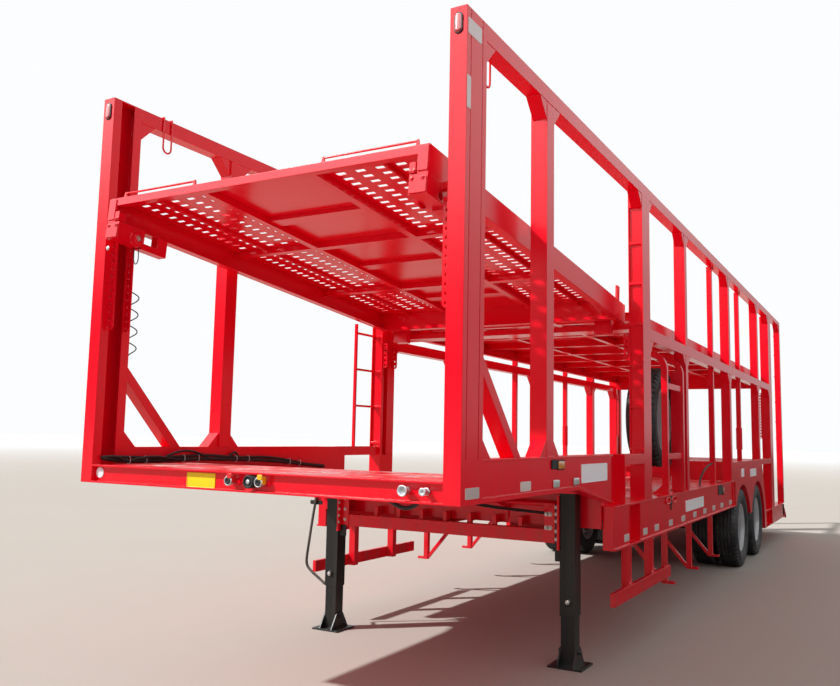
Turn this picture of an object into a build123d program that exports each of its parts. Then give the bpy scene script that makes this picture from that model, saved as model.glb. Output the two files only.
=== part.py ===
"""Double-deck car carrier semi-trailer, in millimetres.

The frame is +X forward, +Y to the left side and +Z up, with the origin on the ground under
the middle of the overall length. Stations are measured backwards from the faces of the front
posts, so x_at(station) is the place of a station in this frame.
"""

from build123d import *

import math
import os

os.makedirs("parts", exist_ok=True)

# Overall size
LENGTH = 12200
WIDTH = 2500
HEIGHT = 3540
SIDE = WIDTH / 2

# Levels of the decks and rails
NECK_BOTTOM = 1206
FRONT_DECK = 1310
NECK_DECK_END = 1228
FASCIA_TOP = 1410
FASCIA_DIP = 1088
LOW_DECK = 1060
RAIL_DEPTH = 300
ARCH_DECK = 1275
SILL_TOP = 530
SILL_BOTTOM = 300
MID_RAIL_TOP = 2395
MID_RAIL_HEIGHT = 92
UPPER_DECK = 2560
TOP_RAIL_HEIGHT = 90

# Stations along the length
FRONT_DECK_BEND = 700
FASCIA_BEND = 1580
FASCIA_END = 2285
LEG_STATION = 2217
NECK_END = 2335
NECK_STUB = 2570
LOW_DECK_END = 7040
ARCH_DECK_END = 9450
ARCH_RAMP_FOOT = 9620
TAIL_POST = 11860
TAIL_RAIL = 10730

# Walls and sections
RAIL_WIDTH = 90
PLATE = 8
FLOOR = 6
FLANGE = 10
COLUMN_WALL = 8

# Wheels and axles
AXLE_STATIONS = (7720, 8990)
TYRE_RADIUS = 470
TYRE_WIDTH = 255
RIM_RADIUS = 299
DUAL_SPACING = 287
TYRE_OUTER_FACE = 1240
ARCH_TOP = 990
ARCH_RADIUS = 620

# Columns
FRONT_POST_DEPTH = 220
FRONT_POST_WIDTH = 90
FRONT_SLOT = 100
REAR_COLUMN = 10430
REAR_COLUMN_DEPTH = 300
REAR_COLUMN_WIDTH = 120
REAR_SLOT = 120
LADDER_COLUMN = 3100
LADDER_COLUMN_DEPTH = 220
LADDER_COLUMN_WIDTH = 113

# Moving decks
PLATFORM_HALF_WIDTH = 1085
PLATFORM_FRONT = -50
PLATFORM_REAR = 3180
PLATFORM_DEPTH = 145
PLATFORM_SLOPE = 5.3
PLATFORM_PIN = (3230, 2500)
REAR_DECK_HALF_WIDTH = 1100
REAR_DECK_FRONT = 3440
REAR_DECK_REAR = 10390
REAR_DECK_DEPTH = 130
REAR_DECK_PIN = (3400, 2480)

SIDES = (1, -1)


def x_at(station):
    """The X of a station, which counts backwards from the front posts' faces."""
    return LENGTH / 2 - station


def save(name, shape):
    """Writes one finished sub-part under its own name."""
    shape.label = name
    export_step(shape, f"parts/{name}.step")


def between(station_a, station_b, y_a, y_b, z_a, z_b, mode=Mode.ADD):
    """A plate or bar between two corners, given by station, Y and Z."""
    length, width, height = abs(station_b - station_a), abs(y_b - y_a), abs(z_b - z_a)
    centre = (x_at((station_a + station_b) / 2), (y_a + y_b) / 2, (z_a + z_b) / 2)
    with Locations(centre):
        Box(length, width, height, mode=mode)


def side_profile(points, y_a, y_b, mode=Mode.ADD):
    """A plate cut to a side view of (station, z) corners, from y_a to y_b."""
    low, high = min(y_a, y_b), max(y_a, y_b)
    with BuildSketch(Plane.XZ.offset(-high)) as section:
        with BuildLine():
            Polyline(*[(x_at(s), z) for s, z in points], close=True)
        make_face()
    extrude(section.sketch, amount=high - low, mode=mode)


def front_profile(points, station_a, station_b, mode=Mode.ADD):
    """A plate cut to a front view of (y, z) corners, between two stations."""
    front, back = min(station_a, station_b), max(station_a, station_b)
    with BuildSketch(Plane.YZ.offset(x_at(back))) as section:
        with BuildLine():
            Polyline(*points, close=True)
        make_face()
    extrude(section.sketch, amount=back - front, mode=mode)


def guide_column(station, depth, width, wall, slot, z_a, z_b, side):
    """A lipped channel whose slot faces the middle of the vehicle."""
    middle = station + depth / 2
    outer = side * SIDE
    inner = outer - side * width
    between(station, station + depth, outer, inner, z_a, z_b)
    between(
        station + wall, station + depth - wall, outer - side * wall, inner + side * wall,
        z_a, z_b, mode=Mode.SUBTRACT,
    )
    between(
        middle - slot / 2, middle + slot / 2, inner + side * 2 * wall, inner - side * wall,
        z_a, z_b, mode=Mode.SUBTRACT,
    )


def neck_level(station):
    """Top of the front deck at a station: level at first, then falling to the bulkhead."""
    run = max(0, station - FRONT_DECK_BEND) / (NECK_END - 20 - FRONT_DECK_BEND)
    return FRONT_DECK - run * (FRONT_DECK - NECK_DECK_END)


# Main longitudinal beams, stepped down behind the neck
BEAM_CENTRE = 480
BEAM_FLANGE = 140
BEAM_WEB = 12
LOW_BEAM_BOTTOM = 780
NECK_BEAM_BOTTOM = NECK_BOTTOM + PLATE
TAIL_BEAM_BOTTOM = SILL_BOTTOM + 20
NECK_KNEE = NECK_END - FASCIA_BEND
BEAM_TOP = {
    "neck": FRONT_DECK - FLOOR,
    "low": LOW_DECK - FLOOR,
    "arch": ARCH_DECK - FLOOR,
    "tail": SILL_TOP - FLOOR,
}
ARCH_BEAM_BOTTOM = 1080
TAIL_BEAM_END = LENGTH - 350
GEAR_Z = 1060
SHAFT_RADIUS = 16
SHAFT_BORE = SHAFT_RADIUS + 4
beam_outline = [
    (120, BEAM_TOP["neck"]),
    (FRONT_DECK_BEND, BEAM_TOP["neck"]),
    (NECK_END - 20, NECK_DECK_END - FLOOR),
    (NECK_END - 20, BEAM_TOP["low"]),
    (LOW_DECK_END + 20, BEAM_TOP["low"]),
    (LOW_DECK_END + 20, BEAM_TOP["arch"]),
    (ARCH_DECK_END - 20, BEAM_TOP["arch"]),
    (ARCH_DECK_END - 20, BEAM_TOP["tail"]),
    (TAIL_BEAM_END, BEAM_TOP["tail"]),
    (TAIL_BEAM_END, TAIL_BEAM_BOTTOM),
    (ARCH_DECK_END - 120, TAIL_BEAM_BOTTOM),
    (ARCH_DECK_END - 170, TAIL_BEAM_BOTTOM + 100),
    (ARCH_DECK_END - 260, ARCH_BEAM_BOTTOM),
    (LOW_DECK_END + 180, ARCH_BEAM_BOTTOM),
    (LOW_DECK_END - 160, LOW_BEAM_BOTTOM),
    (NECK_END + 60, LOW_BEAM_BOTTOM),
    (NECK_END - 45, LOW_BEAM_BOTTOM + 220),
    (NECK_END - NECK_KNEE, NECK_BEAM_BOTTOM),
    (120, NECK_BEAM_BOTTOM),
]
with BuildPart() as main_beams:
    for side in SIDES:
        y = side * BEAM_CENTRE
        side_profile(beam_outline, y - BEAM_WEB / 2, y + BEAM_WEB / 2)
        with Locations((x_at(LEG_STATION), y, GEAR_Z)):
            Cylinder(SHAFT_BORE, 2 * BEAM_WEB, rotation=(90, 0, 0), mode=Mode.SUBTRACT)
        side_profile(
            [
                (FRONT_DECK_BEND, BEAM_TOP["neck"]),
                (NECK_END - 20, NECK_DECK_END - FLOOR),
                (NECK_END - 20, NECK_DECK_END - FLOOR - FLANGE),
                (FRONT_DECK_BEND, BEAM_TOP["neck"] - FLANGE),
            ],
            y - BEAM_FLANGE / 2, y + BEAM_FLANGE / 2,
        )
        # (first station, last station, underside of the flange)
        for s0, s1, z in (
            (120, FRONT_DECK_BEND, BEAM_TOP["neck"] - FLANGE),
            (120, NECK_END - NECK_KNEE, NECK_BEAM_BOTTOM),
            (NECK_END - 20, LOW_DECK_END + 20, BEAM_TOP["low"] - FLANGE),
            (NECK_END + 60, LOW_DECK_END - 160, LOW_BEAM_BOTTOM),
            (LOW_DECK_END + 20, ARCH_DECK_END - 20, BEAM_TOP["arch"] - FLANGE),
            (LOW_DECK_END + 180, ARCH_DECK_END - 260, ARCH_BEAM_BOTTOM),
            (ARCH_DECK_END, TAIL_BEAM_END, BEAM_TOP["tail"] - FLANGE),
            (ARCH_DECK_END, TAIL_BEAM_END, TAIL_BEAM_BOTTOM),
        ):
            between(s0, s1, y - BEAM_FLANGE / 2, y + BEAM_FLANGE / 2, z, z + FLANGE)
save("main_beams", main_beams.part)


# Front bolster, a channel that faces forward between the front posts
BOLSTER_DEPTH = 120
INNER_SIDE = SIDE - FRONT_POST_WIDTH
with BuildPart() as front_bolster:
    with BuildSketch(Plane.XZ.offset(-INNER_SIDE)):
        with BuildLine():
            Polyline(
                (x_at(0), FRONT_DECK),
                (x_at(BOLSTER_DEPTH), FRONT_DECK),
                (x_at(BOLSTER_DEPTH), NECK_BOTTOM),
                (x_at(0), NECK_BOTTOM),
                (x_at(0), NECK_BOTTOM + FLANGE),
                (x_at(30), NECK_BOTTOM + FLANGE),
                (x_at(30), FRONT_DECK - FLANGE),
                (x_at(0), FRONT_DECK - FLANGE),
                close=True,
            )
        make_face()
    extrude(amount=2 * INNER_SIDE)
save("front_bolster", front_bolster.part)


# Crossmembers under all four deck levels, in two halves outboard and one between the beams
CROSS_WIDTH = 60
BEAM_INNER = BEAM_CENTRE - BEAM_WEB / 2
BEAM_OUTER = BEAM_CENTRE + BEAM_WEB / 2
NECK_CROSS_DEPTH = 70
LEG_CROSS = 2187
NECK_CROSS = (420, 780, 1140, 1500, 1860, LEG_CROSS)
BRACKET_STATIONS = (4030, 5000, 6045)
BRACKET_CROSS = tuple(station - 8 for station in BRACKET_STATIONS)
# (stations, underside of the floor that they carry, depth)
CROSS_ROWS = (
    ((2560, 3300, *BRACKET_CROSS, 4510, 5520, 6700), LOW_DECK - FLOOR, 100),
    ((7300, 8325, 9280), ARCH_DECK - FLOOR, 60),
    ((9900, 10560, 11220), SILL_TOP - FLOOR, 100),
)
cross_table = []
for station in NECK_CROSS:
    underside = neck_level(station + CROSS_WIDTH) - FLOOR
    shallow = underside - NECK_BEAM_BOTTOM - 2 * FLANGE
    cross_table.append(((station,), underside, NECK_CROSS_DEPTH if station > FASCIA_BEND else shallow))
with BuildPart() as crossmembers:
    for stations, top, depth in (*cross_table, *CROSS_ROWS):
        for station in stations:
            high = top - FLANGE
            low = high - depth
            between(station, station + CROSS_WIDTH, -BEAM_INNER, BEAM_INNER, low, high)
            for side in SIDES:
                between(
                    station, station + CROSS_WIDTH,
                    side * BEAM_OUTER, side * INNER_SIDE, low, high,
                )
save("crossmembers", crossmembers.part)


# Neck bulkhead, the deep plate that drops from the front deck to the low deck
BULKHEAD_BOTTOM = 905
with BuildPart() as neck_bulkhead:
    for y_a, y_b in (
        (-BEAM_INNER, BEAM_INNER),
        (BEAM_OUTER, INNER_SIDE),
        (-INNER_SIDE, -BEAM_OUTER),
    ):
        between(NECK_END - 32, NECK_END - 20, y_a, y_b, BULKHEAD_BOTTOM, NECK_DECK_END - FLOOR - FLANGE)
save("neck_bulkhead", neck_bulkhead.part)


# Floors
with BuildPart() as front_deck:
    side_profile(
        [
            (BOLSTER_DEPTH, FRONT_DECK),
            (FRONT_DECK_BEND, FRONT_DECK),
            (NECK_END - 20, NECK_DECK_END),
            (NECK_END - 20, NECK_DECK_END - FLOOR),
            (FRONT_DECK_BEND, FRONT_DECK - FLOOR),
            (BOLSTER_DEPTH, FRONT_DECK - FLOOR),
        ],
        -INNER_SIDE, INNER_SIDE,
    )
save("front_deck", front_deck.part)

with BuildPart() as low_deck:
    between(NECK_END - 20, LOW_DECK_END, -INNER_SIDE, INNER_SIDE, LOW_DECK - FLOOR, LOW_DECK)
save("low_deck", low_deck.part)

with BuildPart() as arch_deck:
    side_profile(
        [
            (LOW_DECK_END, LOW_DECK),
            (LOW_DECK_END, ARCH_DECK),
            (ARCH_DECK_END, ARCH_DECK),
            (ARCH_RAMP_FOOT, SILL_TOP),
            (ARCH_RAMP_FOOT - FLOOR, SILL_TOP),
            (ARCH_DECK_END - FLOOR, ARCH_DECK - FLOOR),
            (LOW_DECK_END + FLOOR, ARCH_DECK - FLOOR),
            (LOW_DECK_END + FLOOR, LOW_DECK),
        ],
        -INNER_SIDE, INNER_SIDE,
    )
save("arch_deck", arch_deck.part)

TOE_DROP = 250
TOE_START = TAIL_POST + RAIL_WIDTH + 40
with BuildPart() as tail_deck:
    side_profile(
        [
            (ARCH_RAMP_FOOT - FLOOR, SILL_TOP),
            (TAIL_BEAM_END, SILL_TOP),
            (LENGTH, SILL_TOP - TOE_DROP),
            (LENGTH, SILL_TOP - TOE_DROP - 20),
            (TAIL_BEAM_END, SILL_TOP - 20),
            (TAIL_BEAM_END, SILL_TOP - FLOOR),
            (ARCH_RAMP_FOOT - FLOOR, SILL_TOP - FLOOR),
        ],
        -INNER_SIDE, INNER_SIDE,
    )
    side_profile(
        [
            (TOE_START, SILL_TOP - TOE_DROP * (TOE_START - TAIL_BEAM_END) / (LENGTH - TAIL_BEAM_END)),
            (LENGTH, SILL_TOP - TOE_DROP),
            (LENGTH, SILL_TOP - TOE_DROP - 20),
            (TOE_START, SILL_TOP - 20 - TOE_DROP * (TOE_START - TAIL_BEAM_END) / (LENGTH - TAIL_BEAM_END)),
        ],
        -SIDE, SIDE,
    )
save("tail_deck", tail_deck.part)


# Coupler plate under the neck with the two-inch kingpin
KINGPIN_STATION = 900
KINGPIN_COLLAR = 71.4
KINGPIN_NECK = 50.8
COUPLER_SIZE = 1000
COUPLER_BOTTOM = NECK_BEAM_BOTTOM - PLATE
with BuildPart() as coupler_plate:
    between(
        KINGPIN_STATION - COUPLER_SIZE / 2, KINGPIN_STATION + COUPLER_SIZE / 2,
        -BEAM_CENTRE - BEAM_FLANGE / 2, BEAM_CENTRE + BEAM_FLANGE / 2, COUPLER_BOTTOM, NECK_BEAM_BOTTOM,
    )
    with BuildSketch(Plane.XZ):
        with BuildLine():
            Polyline(
                (x_at(KINGPIN_STATION), COUPLER_BOTTOM),
                (x_at(KINGPIN_STATION) + 90, COUPLER_BOTTOM),
                (x_at(KINGPIN_STATION) + 90, COUPLER_BOTTOM - 12),
                (x_at(KINGPIN_STATION) + KINGPIN_NECK / 2, COUPLER_BOTTOM - 12),
                (x_at(KINGPIN_STATION) + KINGPIN_NECK / 2, COUPLER_BOTTOM - 52),
                (x_at(KINGPIN_STATION) + KINGPIN_COLLAR / 2, COUPLER_BOTTOM - 52),
                (x_at(KINGPIN_STATION) + KINGPIN_COLLAR / 2, COUPLER_BOTTOM - 84),
                (x_at(KINGPIN_STATION), COUPLER_BOTTOM - 84),
                close=True,
            )
        make_face()
    revolve(axis=Axis((x_at(KINGPIN_STATION), 0, 0), (0, 0, 1)))
save("coupler_plate", coupler_plate.part)


# Side fascias of the neck, their webs set back behind flanges, with a plate behind the step
# that carries a short link to the ladder column
WEB_SETBACK = 14
FASCIA_LIP = 12
FASCIA_FLANGE = 24
LINK_HEIGHT = 75
with BuildPart() as neck_fascias:
    for side in SIDES:
        outer, inner = side * SIDE, side * (SIDE - RAIL_WIDTH)
        side_profile(
            [
                (FRONT_POST_DEPTH, FASCIA_TOP),
                (FASCIA_END, FASCIA_TOP),
                (FASCIA_END, FASCIA_DIP),
                (FASCIA_BEND, NECK_BOTTOM),
                (FRONT_POST_DEPTH, NECK_BOTTOM),
            ],
            outer, inner,
        )
        side_profile(
            [
                (FRONT_POST_DEPTH, FASCIA_TOP - FASCIA_LIP),
                (FASCIA_END, FASCIA_TOP - FASCIA_LIP),
                (FASCIA_END, FASCIA_DIP),
                (FASCIA_BEND, NECK_BOTTOM + FASCIA_FLANGE),
                (FRONT_POST_DEPTH, NECK_BOTTOM + FASCIA_FLANGE),
            ],
            outer, outer - side * WEB_SETBACK, mode=Mode.SUBTRACT,
        )
        between(NECK_STUB, LADDER_COLUMN, outer, inner, FASCIA_TOP - LINK_HEIGHT, FASCIA_TOP)
        between(NECK_STUB, NECK_STUB + FLANGE, outer, inner, LOW_DECK, FASCIA_TOP - LINK_HEIGHT)
        between(FASCIA_END, NECK_STUB, inner + side * PLATE, inner, LOW_DECK, FASCIA_TOP)
save("neck_fascias", neck_fascias.part)


# Side rails of the low deck, a flanged channel boxed in with outer panels
RAIL_BOTTOM = LOW_DECK - RAIL_DEPTH
RAIL_NOTCH = (2720, 3016)
RAIL_LIP = 14
with BuildPart() as side_rails:
    for side in SIDES:
        outer, inner = side * SIDE, side * (SIDE - RAIL_WIDTH)
        between(NECK_END, LOW_DECK_END, outer, inner, RAIL_BOTTOM, LOW_DECK)
        between(
            RAIL_NOTCH[0], RAIL_NOTCH[1], outer, inner + side * PLATE,
            RAIL_BOTTOM + RAIL_LIP, LOW_DECK - RAIL_LIP, mode=Mode.SUBTRACT,
        )
        for s0, s1 in ((NECK_END, RAIL_NOTCH[0]), (RAIL_NOTCH[1], LOW_DECK_END)):
            between(
                s0, s1, outer, outer - side * WEB_SETBACK,
                RAIL_BOTTOM + RAIL_LIP, LOW_DECK - RAIL_LIP, mode=Mode.SUBTRACT,
            )
save("side_rails", side_rails.part)


# Wheel arch panels under a slim side rail, with two arches cut on one radius
ARCH_CENTRE_Z = ARCH_TOP - ARCH_RADIUS
ARCH_TIP = 607
ARCH_SLANT_END = 9768
ARCH_NOTCH = (7070, 7180)
with BuildPart() as arch_panels:
    for side in SIDES:
        outer, inner = side * SIDE, side * INNER_SIDE
        side_profile(
            [
                (LOW_DECK_END, RAIL_BOTTOM),
                (LOW_DECK_END, ARCH_DECK),
                (ARCH_DECK_END, ARCH_DECK),
                (ARCH_DECK_END, ARCH_DECK - LINK_HEIGHT),
                (ARCH_SLANT_END, SILL_TOP),
                (ARCH_SLANT_END, SILL_BOTTOM),
                (AXLE_STATIONS[1], SILL_BOTTOM),
                (AXLE_STATIONS[1], ARCH_TIP),
                (AXLE_STATIONS[0], ARCH_TIP),
                (AXLE_STATIONS[0], RAIL_BOTTOM),
            ],
            outer, inner,
        )
        for station in AXLE_STATIONS:
            with BuildSketch(Plane.XZ.offset(-max(outer, inner))):
                with Locations((x_at(station), ARCH_CENTRE_Z)):
                    Circle(ARCH_RADIUS)
            extrude(amount=RAIL_WIDTH, mode=Mode.SUBTRACT)
        between(
            ARCH_NOTCH[0], ARCH_NOTCH[1], outer, inner + side * PLATE,
            RAIL_BOTTOM + RAIL_LIP, LOW_DECK - RAIL_LIP, mode=Mode.SUBTRACT,
        )
save("arch_panels", arch_panels.part)


# Sills of the low tail, channels with one boxed panel behind the rear columns
SILL_PANEL_END = 11700
with BuildPart() as tail_sills:
    for side in SIDES:
        outer, inner = side * SIDE, side * (SIDE - RAIL_WIDTH)
        between(ARCH_SLANT_END, TAIL_POST + RAIL_WIDTH, outer, inner, SILL_BOTTOM, SILL_TOP)
        for s0, s1 in ((ARCH_SLANT_END, REAR_COLUMN), (SILL_PANEL_END, TAIL_POST + RAIL_WIDTH)):
            between(
                s0, s1, outer, inner + side * PLATE,
                SILL_BOTTOM + FLANGE, SILL_TOP - FLANGE, mode=Mode.SUBTRACT,
            )
        between(ARCH_DECK_END, REAR_COLUMN, outer, inner, ARCH_DECK - LINK_HEIGHT, ARCH_DECK)
save("tail_sills", tail_sills.part)


# Front posts, lipped channels with two pressed grooves down the outer web
GROOVE_STATIONS = (45, 172)
GROOVE_WIDTH = 8
GROOVE_DEPTH = 4
with BuildPart() as front_posts:
    for side in SIDES:
        guide_column(
            0, FRONT_POST_DEPTH, FRONT_POST_WIDTH, COLUMN_WALL, FRONT_SLOT,
            NECK_BOTTOM, HEIGHT - PLATE, side,
        )
        outer, inner = side * SIDE, side * (SIDE - FRONT_POST_WIDTH)
        between(0, FRONT_POST_DEPTH, outer, inner, HEIGHT - PLATE, HEIGHT)
        for station in GROOVE_STATIONS:
            between(
                station - GROOVE_WIDTH / 2, station + GROOVE_WIDTH / 2,
                outer, outer - side * GROOVE_DEPTH, FASCIA_TOP, HEIGHT - PLATE,
                mode=Mode.SUBTRACT,
            )
save("front_posts", front_posts.part)


# Side posts between the top rails and what stands below them
POST_TOP = HEIGHT - TOP_RAIL_HEIGHT
MID_RAIL_BOTTOM = MID_RAIL_TOP - MID_RAIL_HEIGHT
# (station, depth, width, lower end, upper end)
SIDE_POSTS = (
    (1040, 110, 100, FASCIA_TOP, POST_TOP),
    (4600, 90, 100, LOW_DECK, MID_RAIL_BOTTOM),
    (4600, 90, 100, MID_RAIL_TOP, POST_TOP),
    (6930, 100, 100, LOW_DECK, MID_RAIL_BOTTOM),
    (6930, 100, 100, MID_RAIL_TOP, POST_TOP),
    (9230, 100, 100, ARCH_DECK, MID_RAIL_BOTTOM),
    (9230, 100, 100, MID_RAIL_TOP, POST_TOP),
    (TAIL_POST, RAIL_WIDTH, RAIL_WIDTH, SILL_TOP, HEIGHT - 60),
)
with BuildPart() as side_posts:
    for station, depth, width, low, high in SIDE_POSTS:
        for side in SIDES:
            between(station, station + depth, side * SIDE, side * (SIDE - width), low, high)
save("side_posts", side_posts.part)


# Ladder columns with rungs across their front faces
RUNG_PITCH = 322
RUNG_FIRST = 1435
RUNG_COUNT = 6
KNEE = 110
RUNG = 18
with BuildPart() as ladder_columns:
    for side in SIDES:
        outer, inner = side * SIDE, side * (SIDE - LADDER_COLUMN_WIDTH)
        between(
            LADDER_COLUMN, LADDER_COLUMN + LADDER_COLUMN_DEPTH, outer, inner, LOW_DECK, POST_TOP
        )
        between(
            LADDER_COLUMN - 1, LADDER_COLUMN + RUNG + 2, outer - side * PLATE, inner + side * PLATE,
            FASCIA_TOP, POST_TOP - KNEE, mode=Mode.SUBTRACT,
        )
        between(
            LADDER_COLUMN + 34, LADDER_COLUMN + 100, outer - side * PLATE, inner - side,
            FASCIA_TOP - LINK_HEIGHT, 2330, mode=Mode.SUBTRACT,
        )
        for n in range(RUNG_COUNT):
            z = RUNG_FIRST + n * RUNG_PITCH
            between(
                LADDER_COLUMN, LADDER_COLUMN + RUNG + 2,
                outer - side * PLATE, inner + side * PLATE, z, z + RUNG,
            )
save("ladder_columns", ladder_columns.part)


# Rear columns, lipped channels that guide the rear deck
with BuildPart() as rear_columns:
    for side in SIDES:
        guide_column(
            REAR_COLUMN, REAR_COLUMN_DEPTH, REAR_COLUMN_WIDTH, COLUMN_WALL, REAR_SLOT,
            SILL_TOP, POST_TOP, side,
        )
save("rear_columns", rear_columns.part)


# Lifting masts, square tubes with a round collar on each rear one
MAST_SIZE = 54
MAST_Y = SIDE - 82
COLLAR_RADIUS = 38
# (station, foot)
MASTS = ((6240, LOW_DECK), (8050, ARCH_DECK))
# (station, lower end, upper end)
COLLAR = (8050, 1420, 1690)
with BuildPart() as lifting_masts:
    for side in SIDES:
        y = side * MAST_Y
        for station, foot in MASTS:
            for low, high in ((foot, MID_RAIL_BOTTOM), (MID_RAIL_TOP, POST_TOP)):
                between(
                    station - MAST_SIZE / 2, station + MAST_SIZE / 2,
                    y - MAST_SIZE / 2, y + MAST_SIZE / 2, low, high,
                )
        with Locations((x_at(COLLAR[0]), y, (COLLAR[1] + COLLAR[2]) / 2)):
            Cylinder(COLLAR_RADIUS, COLLAR[2] - COLLAR[1])
save("lifting_masts", lifting_masts.part)


# Top rails, the full box to the rear columns and a slimmer tail
with BuildPart() as top_rails:
    for side in SIDES:
        outer, inner = side * SIDE, side * (SIDE - RAIL_WIDTH)
        between(FRONT_POST_DEPTH, TAIL_RAIL, outer, inner, POST_TOP, HEIGHT)
        between(TAIL_RAIL, TAIL_POST + RAIL_WIDTH, outer, inner, HEIGHT - 60, HEIGHT)
save("top_rails", top_rails.part)


# Mid rails between the ladder columns and the rear columns
with BuildPart() as mid_rails:
    for side in SIDES:
        outer, inner = side * SIDE, side * (SIDE - RAIL_WIDTH)
        between(
            LADDER_COLUMN + LADDER_COLUMN_DEPTH, REAR_COLUMN, outer, inner,
            MID_RAIL_BOTTOM, MID_RAIL_TOP,
        )
save("mid_rails", mid_rails.part)


# Knee gussets under the top rails and at the feet of the posts
FOOT_KNEE = 95
# (station of the post's face, -1 for a knee ahead of it or 1 behind it, width, z, rise)
KNEES = (
    (FRONT_POST_DEPTH, 1, 90, POST_TOP, -KNEE),
    (1040, -1, 90, POST_TOP, -KNEE),
    (1150, 1, 90, POST_TOP, -KNEE),
    (3100, -1, 90, POST_TOP, -KNEE),
    (3320, 1, 90, POST_TOP, -KNEE),
    (4600, -1, 90, POST_TOP, -KNEE),
    (4690, 1, 90, POST_TOP, -KNEE),
    (6930, -1, 90, POST_TOP, -KNEE),
    (7030, 1, 90, POST_TOP, -KNEE),
    (9230, -1, 90, POST_TOP, -KNEE),
    (9330, 1, 90, POST_TOP, -KNEE),
    (10430, -1, 90, POST_TOP, -KNEE),
    (11860, -1, 90, HEIGHT - 60, -KNEE),
    (1040, -1, 90, FASCIA_TOP, FOOT_KNEE),
    (1150, 1, 90, FASCIA_TOP, FOOT_KNEE),
    (FRONT_POST_DEPTH, 1, 90, FASCIA_TOP, FOOT_KNEE),
    (3320, 1, 90, MID_RAIL_BOTTOM, -KNEE),
    (4600, -1, 90, MID_RAIL_BOTTOM, -KNEE),
    (4690, 1, 90, MID_RAIL_BOTTOM, -KNEE),
    (6930, -1, 90, MID_RAIL_BOTTOM, -KNEE),
    (7030, 1, 90, MID_RAIL_BOTTOM, -KNEE),
    (9230, -1, 90, MID_RAIL_BOTTOM, -KNEE),
    (9330, 1, 90, MID_RAIL_BOTTOM, -KNEE),
    (REAR_COLUMN, -1, 90, MID_RAIL_BOTTOM, -KNEE),
)
with BuildPart() as knee_gussets:
    for station, way, width, z, rise in KNEES:
        for side in SIDES:
            side_profile(
                [(station, z), (station + way * abs(rise), z), (station, z + rise)],
                side * (SIDE - 2), side * (SIDE - width + 2),
            )
save("knee_gussets", knee_gussets.part)


# Diagonal braces of the front posts
BRACE_WIDTH = 80
BRACE_SETBACK = 5
BRACE_TOP_Z = 1900
BRACE_RISE = 85
BRACE_FOOT = 605
with BuildPart() as front_braces:
    for side in SIDES:
        side_profile(
            [
                (FRONT_POST_DEPTH, BRACE_TOP_Z),
                (FRONT_POST_DEPTH, BRACE_TOP_Z - BRACE_RISE),
                (BRACE_FOOT, FASCIA_TOP),
                (BRACE_FOOT + BRACE_RISE, FASCIA_TOP),
            ],
            side * (SIDE - BRACE_SETBACK), side * (SIDE - BRACE_SETBACK - BRACE_WIDTH),
        )
save("front_braces", front_braces.part)


# Perforated lock strips beside the guide slots
STRIP_WIDTH = 32
STRIP_THICKNESS = 12
STRIP_HOLE = 9
STRIP_PITCH = 54
# (station, post's inner face, lower end, hole count)
STRIPS = (
    (44, SIDE - FRONT_POST_WIDTH, 2095, 10),
    (168, SIDE - FRONT_POST_WIDTH, 2095, 10),
    (LADDER_COLUMN + 12, SIDE - LADDER_COLUMN_WIDTH, 2130, 4),
    (LADDER_COLUMN + 176, SIDE - LADDER_COLUMN_WIDTH, 2130, 4),
    (REAR_COLUMN + 10, SIDE - REAR_COLUMN_WIDTH, 1560, 13),
)
with BuildPart() as lock_strips:
    for station, face, low, count in STRIPS:
        for side in SIDES:
            middle = side * (face - STRIP_WIDTH / 2)
            with BuildSketch(Plane.YZ.offset(x_at(station + STRIP_THICKNESS))):
                with Locations((middle, low + count * STRIP_PITCH / 2)):
                    Rectangle(STRIP_WIDTH, count * STRIP_PITCH)
                for n in range(count):
                    with Locations((middle, low + (n + 0.5) * STRIP_PITCH)):
                        RegularPolygon(STRIP_HOLE, 8, mode=Mode.SUBTRACT)
            extrude(amount=STRIP_THICKNESS)
save("lock_strips", lock_strips.part)


# Fixed hinge beam between the ladder columns, with the lugs of both decks' pins
LUG_THICKNESS = 20
PIN_RADIUS = 20
LUG_Y = 900
HINGE_BOTTOM = 2385
HINGE_TOP = 2430
with BuildPart() as hinge_beam:
    between(
        3200, 3420, -(SIDE - LADDER_COLUMN_WIDTH), SIDE - LADDER_COLUMN_WIDTH,
        HINGE_BOTTOM, HINGE_TOP,
    )
    for station, z in (PLATFORM_PIN, REAR_DECK_PIN):
        for side in SIDES:
            with BuildSketch(Plane.XZ.offset(-(side * LUG_Y + LUG_THICKNESS / 2))):
                with Locations((x_at(station), z)):
                    Circle(2 * PIN_RADIUS)
                with Locations((x_at(station), (z + HINGE_TOP) / 2)):
                    Rectangle(3.4 * PIN_RADIUS, z - HINGE_TOP)
            extrude(amount=LUG_THICKNESS)
            with BuildSketch(Plane.XZ.offset(-(side * LUG_Y + 45))):
                with Locations((x_at(station), z)):
                    Circle(PIN_RADIUS)
            extrude(amount=90)
save("hinge_beam", hinge_beam.part)


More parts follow.
